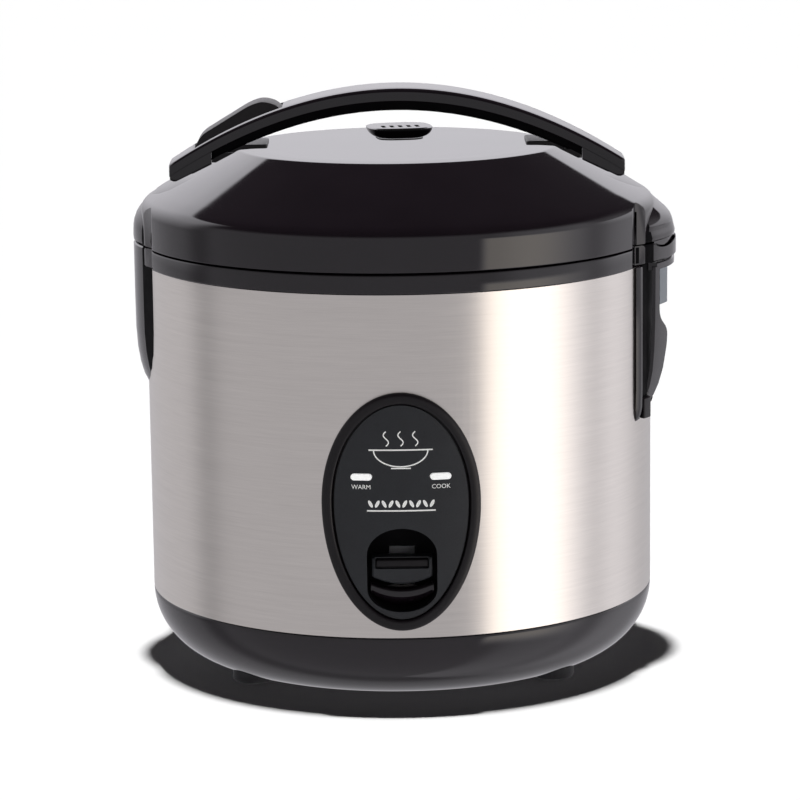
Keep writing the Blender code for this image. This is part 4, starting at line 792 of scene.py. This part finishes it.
def hinge_face(z, turn, lift=0.0, clear=115.4):
    """A point on the bowed face at an angle from its middle, kept outside the body's wall."""
    reach, sweep = out_at(z) + lift, math.radians(turn)
    x, y = reach - 54.5 + 54.5 * math.cos(sweep), 54.5 * math.sin(sweep)
    grow = max(1.0, clear / math.hypot(x, y))
    return x * grow, y * grow, z


def back_wall(y, z, radius=116.3):
    return math.sqrt(radius * radius - y * y), y, z


def hinge_side():
    """The sheath on the hinge side: a skin on the body, a flank at each end, and the dew collector's cup."""
    low, high = 117.0, SHELL_HIGH
    rings = []
    for i in range(25):
        y = -41.5 + 83 * i / 24
        rings.append([back_wall(y, low + 3, 115.05), back_wall(y, high, 115.05), back_wall(y, high, 116.15),
                      back_wall(y, low + 3, 116.15)])
    # The recess's back wall gets the dark matt black: painted shade in the narrow recess
    dress(skinned("sheath_skin", rings), DULL_SHADED, "cooker_body", "hinge_bracket", slot="satin_black")
    for name, side in (("front", -1), ("rear", 1)):
        rings = []
        for z, shrink in ((115.8, 3.4), (116.6, 2.2), (118.5, 1.0), (122, 0.3), (130, 0), (high - 0.4, 0),
                          (high, 0.3)):
            plan = [(105.0, 46.8), (105.6, 47.8 - shrink * 0.5), (107.2 - shrink * 0.3, 46.8 - shrink * 0.5),
                    (108.5 - shrink * 0.5, 45.0 - shrink * 0.5), (108.6 - shrink * 0.5, 44.2 - shrink * 0.5),
                    (107.6, 41.0), (105.8, 44.9)]
            rings.append([(x, side * y, z) for x, y in plan])
        dress(skinned(f"sheath_flank_{name}", rings), GLOSS, "cooker_body", slot="gloss_black", sharp=50)
        toe = eased([(107.4, side * 41, 1), (109.4, side * 43.4, 1), (113.0, side * 38.0, 1.5),
                     (111.5, side * 33, 1)])
        toe = pushed(f"sheath_toe_{name}", "Z", toe, low - 0.8, low + 8.2)
        cut(toe, turned("toe_core", [(0, 100), (115.05, 100), (115.05, 140), (0, 140)]))
        dress(soften(toe, 0.5), SATIN, "cooker_body", slot="satin_black")

    def loop(z, inset, span):
        """The cup in plan: its bowed face, then back along the body's wall."""
        while span > 6 and hinge_face(z, span, -inset, 0)[0] < back_wall(hinge_face(z, span, -inset, 0)[1],
                                                                         z)[0] + 1.2:
            span -= 0.5
        face = [hinge_face(z, -span + 2 * span * k / 32, -inset, 116.9) for k in range(33)]
        return face + [back_wall(y, z, 116.3 + inset * 0.6) for _, y, _ in reversed(face)]

    rings = [loop(z, 0.9 if z > 118.6 else 1.5, 34.2) for z in (118.2, 118.8, 120, 122, 125, 130, 137, 146,
                                                                158, 170, 180,
                                                                183.4)]
    cup = skinned("dew_cup", rings)
    space = skinned("cup_space", [loop(z, 2.3, 32.6) for z in (126, 131, 137, 146, 158, 170, 180, 186)])
    cut(cup, space)
    dress(cup, ACRYLIC, "dew_collector", "dew_collector", slot="clear_plastic")

    for name, side in (("front", -1), ("rear", 1)):
        rings = []
        for i in range(45):
            z = 118.2 + (high - 2.0 - 118.2) * i / 44
            swell = 1 / (1 + math.exp((z - 156.5) / 1.7))  # the shield's edge steps outwards below here
            edge = 33.2 - swell * (10.4 - 9.0 * max(0.0, (152 - z) / 34) ** 1.3)
            turns = [37.0 + (edge - 37.0) * k / 6 for k in range(7)]
            rings.append([hinge_face(z, side * t, 0.3) for t in turns]
                         + [hinge_face(z, side * t, -1.1) for t in reversed(turns)])
        dress(skinned(f"cup_shield_{name}", rings), GLOSS, "dew_collector", slot="gloss_black", sharp=45)
        turns = [30.4 - 9.4 * k / 6 for k in range(7)]
        rings = [[hinge_face(z, side * t, -0.75) for t in turns] + [hinge_face(z, side * t, -2.6)
                                                                    for t in reversed(turns)]
                 for z in (165.5, 166, 173, 181.6, 182)]
        dress(skinned(f"cup_insert_{name}", rings), SMOKE, "dew_collector", slot="clear_plastic")
    rings = []
    for z, lift in ((181.6, -0.9), (181.9, 0.1), (184.6, 0.1), (185.0, -0.5)):
        face = [hinge_face(z, -35.2 + 70.4 * k / 32, lift) for k in range(33)]
        rings.append(face + [back_wall(y, z, 116.4) for _, y, _ in reversed(face)])
    collar = skinned("cup_collar", rings)
    cut(collar, skinned("collar_space", [loop(z, 2.3, 32.6) for z in (176, 190)]))
    dress(collar, GLOSS, "dew_collector", slot="gloss_black")


# ------------------------------------------------------------------ control panel
def opening(extra=0.0, steps=20):
    top = arc((0, 72), (15.2 + extra, 12 + extra), 0, 180, steps)
    return top + arc((0, 57), (15.2 + extra, 10 + extra), 180, 360, steps)


def pill(side, size):
    """A lamp window's outline, wrapped later: (u, z)."""
    half, radius = size[0] / 2 - size[1] / 2, size[1] / 2
    return (arc((side * 17 + half, 106.6), (radius, radius), -90, 90, 10)
            + arc((side * 17 - half, 106.6), (radius, radius), 90, 270, 10))


def flat(outline):
    """(u, z) points as the (x, z) they have once wrapped round the body."""
    return [(BODY_RADIUS * math.sin(u / BODY_RADIUS), z) for u, z in outline]


def panel():
    section = [(0, 115.1), (0, 115.9), (0.15, 116.7), (0.55, 117.3), (1.2, 117.65), (2.2, 117.78),
               (3.4, 117.78),
               (4.1, 117.6), (4.55, 117.2), (4.7, 116.7), (4.7, 114.6), (7.2, 114.6), (7.2, 113.1),
               (2.8, 113.1),
               (2.8, 115.1)]
    ring = skinned("panel_ring", [panel_loop(d, r, 144) for d, r in section], closed=True)
    dress(ring, SATIN, "cooker_body", "panel_bezel", slot="satin_black", sharp=45)

    curve = [(radius * math.sin(t), -radius * math.cos(t)) for radius, turns in
             ((FACE, range(-24, 25)), (114.9, range(24, -25, -1))) for t in [0.35 * k / 24 for k in turns]]
    face = pushed("panel_face", "Z", curve, 30, 160)
    edge = [(BODY_RADIUS * math.sin(u / BODY_RADIUS), z) for u, z in
            [panel_edge(TAU * i / 144, 5.3) for i in range(144)]]
    boolean(face, "INTERSECT", pushed("face_edge", "Y", edge, -130, -80))
    cut(face, pushed("switch_hole", "Y", flat(opening()), -125, -80),
        *[pushed(f"lamp_hole_{side}", "Y", flat(pill(side, (9.4, 3.2))), -125, -80) for side in (-1, 1)])
    dress(face, PANEL, "cooker_body", "panel_plate", slot="panel_grey", sharp=35)

    for side, name in ((-1, "warm"), (1, "cook")):
        outline = pill(side, (9.1, 2.9))
        rings = [wrapped(outline, lift) for lift in (-2.2, -0.1)]
        shrink = [(side * 17 + (u - side * 17) * 0.96, 106.6 + (z - 106.6) * 0.9) for u, z in outline]
        rings.append(wrapped(shrink, 0.12))
        dress(skinned(f"lamp_lens_{name}", rings), OPAL, "cooker_body", f"indicator_lens_{name}",
              slot="lens_white")

    rings = []
    for depth, extra in ((114.8, 0.0), (110.5, -0.5), (106.5, -0.6)):
        rings.append([(x, -depth, z) for x, z in opening(extra)])
    rings.append([(x, -106.5, z) for x, z in opening(0.8)])
    rings.append([(x, -112.4, z) for x, z in opening(0.9)])
    well = skinned("switch_well", rings[:3] + rings[3:], closed=True)
    # The pocket and its backing get the dark matt black: painted shade inside the switch pocket
    dress(well, DULL_SHADED, "cooker_body", "switch_pocket", slot="satin_black")
    backing = pushed("switch_backing", "Y", opening(-0.3), -106.3, -105.2)
    cut(backing, block("arm_slot", (-5.5, -108, 46.2), (5.5, -104, 74)))
    dress(backing, DULL_SHADED, "cooker_body", slot="satin_black")

    # The glossy step under the paddle, dished to follow the paddle's lower edge
    rings = []
    for k in range(25):
        x = -13.6 + 27.2 * k / 24
        dip = 3.2 * (1 - (x / 13.6) ** 2)
        low = 57 - 9.4 * math.sqrt(max(0.0, 1 - (x / 14.9) ** 2))
        rings.append([(x, -106.6, 59.8 - dip), (x, -110.5, 60.0 - dip), (x, -112.2, 59.5 - dip),
                      (x, -113.1, 57.6 - dip * 0.9), (x, -112.0, max(low + 0.4, 54.6 - dip)),
                      (x, -106.6, low)])
    dress(skinned("switch_step", rings), GLOSS, "cooker_body", slot="gloss_black", sharp=50)


def paddle():
    """The cook switch: a flat face with a bowed lower edge and a sunken bar above it."""
    rings = []
    for k in range(33):
        x = -13.0 + 26.0 * k / 32
        edge = 1 - max(0.0, (abs(x) - 12.2) / 0.8) ** 2 * 0.5
        low = 62.6 - 3.2 * (1 - (x / 13.0) ** 2)
        top = 70.9
        front = -113.9 - 1.9 * edge
        rings.append([(x, -107, low + 2.2), (x, -113.5, low + 2.2), (x, -113.5, low + 0.3),
                      (x, front + 0.8, low),
                      (x, front, low + 0.8), (x, front, top - 0.9), (x, front + 0.7, top), (x, -107, top)])
    made = skinned("cook_paddle", rings)
    bar_recess = pushed("bar_recess", "Y", eased([(-11.7, 66.1, 1.1), (11.7, 66.1, 1.1), (11.7, 72, 0),
                                                  (-11.7, 72, 0)]), -120, -113.6)
    cut(made, bar_recess)
    dress(made, PANEL, "cook_switch", "switch_paddle", slot="gloss_black", sharp=40)
    rail = pushed("paddle_rail", "X", eased([(-112, 66.2, 0), (-115.2, 66.8, 0.6), (-114.9, 69.9, 0.8),
                                             (-113.2, 70.7, 0.4), (-112, 70.7, 0)]), -11.3, 11.3)
    dress(soften(rail, 0.6), SATIN, "cook_switch", slot="satin_black", sharp=50)


def print_line(name, path, width, lift=0.06):
    """A printed stroke of constant width along flat (u, z) points, wrapped onto the panel."""
    path = [Vector(p) for p in path]
    sides = ([], [])
    for i, here in enumerate(path):
        run = (path[min(i + 1, len(path) - 1)] - path[max(i - 1, 0)]).normalized()
        off = Vector((-run.y, run.x)) * width / 2
        sides[0].append(tuple(here + off))
        sides[1].append(tuple(here - off))
    rings = [[*wrapped([left], lift), *wrapped([right], lift), *wrapped([right], -0.15), *wrapped([left], -0.15)]
             for left, right in zip(*sides)]
    dress(skinned(name, rings), INK, "cooker_body", slot="lens_white")


def print_word(name, word, middle, low, height):
    """A plain printed word laid on the panel."""
    letters = bpy.data.curves.new(name, "FONT")
    letters.body, letters.size, letters.extrude, letters.align_x = word, height * 1.42, 0.1, "CENTER"
    letters.resolution_u = 3
    carrier = bpy.data.objects.new(name, letters)
    bpy.context.scene.collection.objects.link(carrier)
    seen = carrier.evaluated_get(bpy.context.evaluated_depsgraph_get())
    word_mesh = bpy.data.meshes.new_from_object(seen)
    bpy.data.objects.remove(carrier)
    for vertex in word_mesh.vertices:
        u, v, depth = vertex.co
        vertex.co = at(*wrapped([(middle + u, low + v)], 0.06 if depth > 0 else -0.15)[0])
    made = bpy.data.objects.new(name, word_mesh)
    bpy.context.scene.collection.objects.link(made)
    dress(made, INK, "cooker_body", slot="lens_white")


def printed_marks():
    print_word("label_warm", "WARM", -17.0, 101.4, 1.9)
    print_word("label_cook", "COOK", 17.0, 101.4, 1.9)
    print_line("label_underline", [(-14.6 + 29.2 * i / 20, 91.9) for i in range(21)], 0.62)
    for i in range(10):  # a row of rice grains, each leaning a little
        u, lean = -13.1 + 26.2 * i / 9, math.radians(62 if i % 2 else 118)
        outline = [(u + 1.75 * math.cos(t) * math.cos(lean) - 0.72 * math.sin(t) * math.sin(lean),
                    94.9 + 1.75 * math.cos(t) * math.sin(lean) + 0.72 * math.sin(t) * math.cos(lean))
                   for t in [TAU * k / 20 for k in range(20)]]
        dress(skinned(f"printed_grain_{i}", [wrapped(outline, -0.15), wrapped(outline, 0.06)]), INK,
              "cooker_body",
              slot="lens_white")
    # A generic mark: a steaming bowl in outline
    bowl = [(-11.5, 118.4)] + arc((0, 118.4), (11.5, 7.2), 180, 360, 24) + [(11.5, 118.4)]
    print_line("mark_bowl", bowl, 0.55)
    print_line("mark_brim", [(-13.6 + 27.2 * i / 16, 118.5) for i in range(17)], 0.6)
    print_line("mark_foot", [(-4.2 + 8.4 * i / 6, 110.5) for i in range(7)], 0.55)
    for i, u in enumerate((-6.2, 0.0, 6.2)):
        wisp = [(u + 1.1 * math.sin(TAU * t / 14), 120.2 + 6.4 * t / 14) for t in range(15)]
        print_line(f"mark_steam_{i}", wisp, 0.5)


# ------------------------------------------------------------------ inside and back
def cooking_parts():
    pot = [(0, 58.3)] + arc((82.2, 68.3), (10, 10), -90, 0, 10)
    pot += [(92.2, 150), (92.2, SEAM - 1.7), (103.0, SEAM - 1.6), (103.5, SEAM - 1.2), (103.3, SEAM - 0.6),
            (102.6, SEAM - 0.5), (92.6, SEAM - 0.5), (91.3, SEAM - 0.9), (91.0, SEAM - 2)]
    pot += arc((82.2, 68.3), (8.8, 8.8), 0, -90, 10) + [(0, 59.5)]
    dress(turned("cooking_pot", pot, 144), COATING, "cooker_body", "inner_pot", slot="pot_coating")
    for z in (92, 112, 132, 152):  # pressed level lines inside the pot
        ring = skinned(f"level_line_{z}", [[((r) * math.sin(t), -(r) * math.cos(t), z + h)
                                            for r, h in ((91.1, -0.4), (90.75, 0), (91.1, 0.4))]
                                           for t in [TAU * k / 96 for k in range(96)]], closed=True)
        dress(ring, COATING, "cooker_body", slot="pot_coating")
    plate = [(17, 58), (79, 58)] + arc((79, 56.5), (1.5, 1.5), 90, 0, 4) + [(80.5, 52), (72.5, 50), (60, 50),
                                                                           (57, 47.8), (45, 47.8), (42, 50),
                                                                            (17, 50)]
    dress(turned("heating_plate_cast", plate, 120), CAST, "cooker_body", "heating_plate",
          slot="cast_aluminium")
    shell = [(93.0, 187.9), (101, 187.9), (101, 187.1), (93.8, 187.1), (93.8, 40), (60, 40), (60, 40.8),
             (93, 40.8)]
    dress(turned("heat_shield", shell, 120), SPUN, "cooker_body", "inner_shell", slot="aluminium")

    plate = [(4.6, SEAM - 2.5), (80.6, SEAM - 2.5), (81.8, SEAM - 1.9), (84.2, SEAM + 0.2),
             (85.2, SEAM + 0.6),
             (94.3, SEAM + 0.6), (94.5, SEAM + 1.0), (94.3, SEAM + 1.4), (84.6, SEAM + 1.4),
             (83.6, SEAM + 1.0),
             (81, SEAM - 1.4), (80, SEAM - 1.7), (4.6, SEAM - 1.7)]
    inner = turned("inner_lid_disc", plate, 120)
    holes = [bar(f"steam_hole_{i}", "Z", (6.5 * math.cos(TAU * i / 6), 26 + 6.5 * math.sin(TAU * i / 6)), 1.9,
                 SEAM - 5, SEAM + 4, 20) for i in range(6)]
    cut(inner, bar("middle_steam_hole", "Z", (0, 26), 2.2, SEAM - 5, SEAM + 4, 20), *holes)
    dress(inner, SPUN, "lid", "inner_lid_plate", slot="aluminium")
    seal = eased([(95.6, SEAM + 1.7, 0), (100, SEAM + 1.7, 0), (100, SEAM + 0.8, 0), (101.4, SEAM + 0.1, 0.3),
                  (100.6, SEAM - 0.2, 0.3), (97.6, SEAM + 0.4, 0), (95.6, SEAM + 0.4, 0)])
    dress(turned("lid_seal", seal, 120), SILICONE, "lid", "lid_gasket", slot="silicone")


def mains_inlet():
    flange = eased([(-20, 49, 2.5), (20, 49, 2.5), (20, 79, 2.5), (-20, 79, 2.5)])
    made = pushed("inlet_flange", "Y", flange, 108, 118.4)
    cut(made, turned("inlet_core", [(0, 20), (115.2, 20), (115.2, 110), (0, 110)]))
    soften(made, 0.6, 3, 50)
    socket = eased([(-12.2, 56, 1.2), (12.2, 56, 1.2), (12.2, 68.5, 1), (8.5, 72, 1), (-8.5, 72, 1),
                    (-12.2, 68.5, 1)])
    cup = eased([(-15, 53, 1), (15, 53, 1), (15, 75, 1), (-15, 75, 1)])
    boolean(made, "UNION", pushed("inlet_cup", "Y", cup, 97, 117.0))
    cut(made, pushed("inlet_socket", "Y", socket, 101, 130))
    dress(made, SATIN, "cooker_body", "power_inlet", slot="satin_black", sharp=35)
    for name, x, z in (("live", -7, 62), ("neutral", 7, 62), ("earth", 0, 66)):
        blade = pushed(f"blade_{name}", "Y", eased([(x - 1, z - 2, 0.3), (x + 1, z - 2, 0.3),
                                                    (x + 1, z + 2, 0.3),
                                                    (x - 1, z + 2, 0.3)]), 101.3, 114)
        dress(soften(blade, 0.35, 2, 50), BRASS, "cooker_body", f"inlet_pin_{name}", slot="brass")


steel_shell()
base_tub()
rubber_feet()
rim()
lid()
handle()
release_key()
steam_cap()
latch_side()
hinge_side()
panel()
paddle()
printed_marks()
cooking_parts()
mains_inlet()


# ------------------------------------------------------------------ studio
def patch(tree, *edges):
    """A soft-edged patch of the tent round the cooker: its edges are (value, low, high, first, last)."""
    light = 1.0
    for value, low, high, first, last in edges:
        eased_edge = add(tree, "MapRange", {"Value": value, "From Min": low, "From Max": high,
                                            "To Min": first,
                                            "To Max": last},
                         interpolation_type="SMOOTHERSTEP").outputs["Result"]
        light = add(tree, "Math", {0: light, 1: eased_edge}, operation="MULTIPLY").outputs[0]
    return light


def tent():
    """The light that the cooker mirrors, by direction: a low front fill, a warm key and the backdrop."""
    world = bpy.data.worlds.new("studio")
    bpy.context.scene.world = world
    world.use_nodes = True
    tree = world.node_tree
    tree.nodes.clear()
    way = add(tree, "SeparateXYZ", {"Vector": add(tree, "TexCoord").outputs["Generated"]}).outputs
    forward = add(tree, "Math", {0: way["Y"], 1: -1.0}, operation="MULTIPLY").outputs[0]
    # The turn round the cooker is 0 straight ahead of it and grows to the right
    turn = add(tree, "Math", {0: way["X"], 1: forward}, operation="ARCTAN2").outputs[0]
    lean = add(tree, "Math", {0: way["X"], 1: 0.28, 2: way["Z"]}, operation="MULTIPLY_ADD").outputs[0]
    climb = add(tree, "MapRange", {"Value": way["Z"], "From Min": -0.05, "From Max": 0.45, "To Min": 0.55,
                                   "To Max": 1.9}).outputs["Result"]
    behind = patch(tree, (way["Y"], 0.0, 0.4, 0.0, 1.0), (lean, 0.44, 0.47, 1.0, 0.0))
    backdrop = add(tree, "Math", {0: behind, 1: climb}, operation="MULTIPLY").outputs[0]
    low_down = (way["Z"], 0.22, 0.60, 1.0, 0.0)
    key = patch(tree, (turn, 0.60, 0.72, 0.0, 1.0), (turn, 0.98, 1.75, 1.0, 0.0),
                (way["Z"], -0.06, 0.05, 1.0, 0.0),
                (way["Z"], -0.60, -0.30, 0.0, 1.0))
    right = patch(tree, (turn, 0.62, 1.1, 0.0, 1.0), (turn, 1.9, 2.6, 1.0, 0.0), low_down)
    fill = patch(tree, low_down, (way["Y"], -0.1, 0.3, 1.0, 0.0))
    glow = 0.05
    for light, share in ((backdrop, 1.0), (key, 1.75), (right, 0.45), (fill, 0.53)):
        glow = add(tree, "Math", {0: light, 1: share, 2: glow}, operation="MULTIPLY_ADD").outputs[0]
    rays = add(tree, "LightPath").outputs
    dim = add(tree, "MapRange", {"Value": rays["Is Diffuse Ray"], "To Min": 1.0,
                                 "To Max": 0.006}).outputs["Result"]
    soft = add(tree, "Math", {0: glow, 1: dim}, operation="MULTIPLY").outputs[0]
    strength = add(tree, "Mix", {"Factor": rays["Is Camera Ray"], "A": soft, "B": 1.0}).outputs[0]
    warmth = add(tree, "Mix", {"Factor": key, "A": srgb("#fbf9ff"), "B": srgb("#fff7ef")},
                 data_type="RGBA").outputs[2]
    colour = add(tree, "Mix", {"Factor": rays["Is Camera Ray"], "A": warmth, "B": srgb("#ffffff")},
                 data_type="RGBA").outputs[2]
    sky = add(tree, "Background", {"Color": colour, "Strength": strength})
    add(tree, "OutputWorld", {"Surface": sky.outputs["Background"]}).is_active_output = True


def studio():
    left, right, front, back = -2400, 2400, -420, 4800
    floor = mesh_object("floor", [(left, front, 0), (right, front, 0), (right, back, 0), (left, back, 0)],
                        [(0, 1, 2, 3)])
    white, tree, sockets, where = start_material("matt white floor paint", "#f4f4f4", 0.9)
    surface(tree, sockets, where, (120, 0.86, 0.94))
    floor.data.materials.append(white)
    floor.visible_glossy = False

    sun = bpy.data.lights.new("overhead", "SUN")
    sun.energy, sun.angle = 3.6, math.radians(2.5)
    lamp = bpy.data.objects.new("overhead", sun)
    bpy.context.scene.collection.objects.link(lamp)
    lamp.visible_glossy = False
    lamp.visible_transmission = False


def camera():
    """A long lens 1.56 m in front of the body's axis, looking 11 degrees down and turned a little."""
    pitch, roll = 0.1906, -0.0128
    forward = Vector((0, math.cos(pitch), -math.sin(pitch)))
    right = Vector((1, 0, 0))
    up = right.cross(forward)
    tilted_right = math.cos(roll) * right + math.sin(roll) * up
    tilted_up = -math.sin(roll) * right + math.cos(roll) * up
    lens = bpy.data.cameras.new("camera")
    lens.sensor_width, lens.lens = 36, 154.7217
    lens.clip_start = 0.05
    eye = bpy.data.objects.new("camera", lens)
    bpy.context.scene.collection.objects.link(eye)
    turn = Matrix((tilted_right, tilted_up, -forward)).transposed()
    eye.matrix_world = Matrix.Translation(at(0, -1555.559, SEAM + 223.4565)) @ turn.to_4x4()
    bpy.context.scene.camera = eye


tent()
studio()
camera()
for piece in bpy.data.objects:  # soft light from the tent hides these from the polished lid below them
    if piece.name.startswith(("handle_", "release_", "steam_cap")) and piece.type == "MESH":
        piece.visible_glossy = False
view = bpy.context.scene.view_settings
view.view_transform, view.look, view.exposure, view.gamma = "Standard", "None", 0.0, 1.0
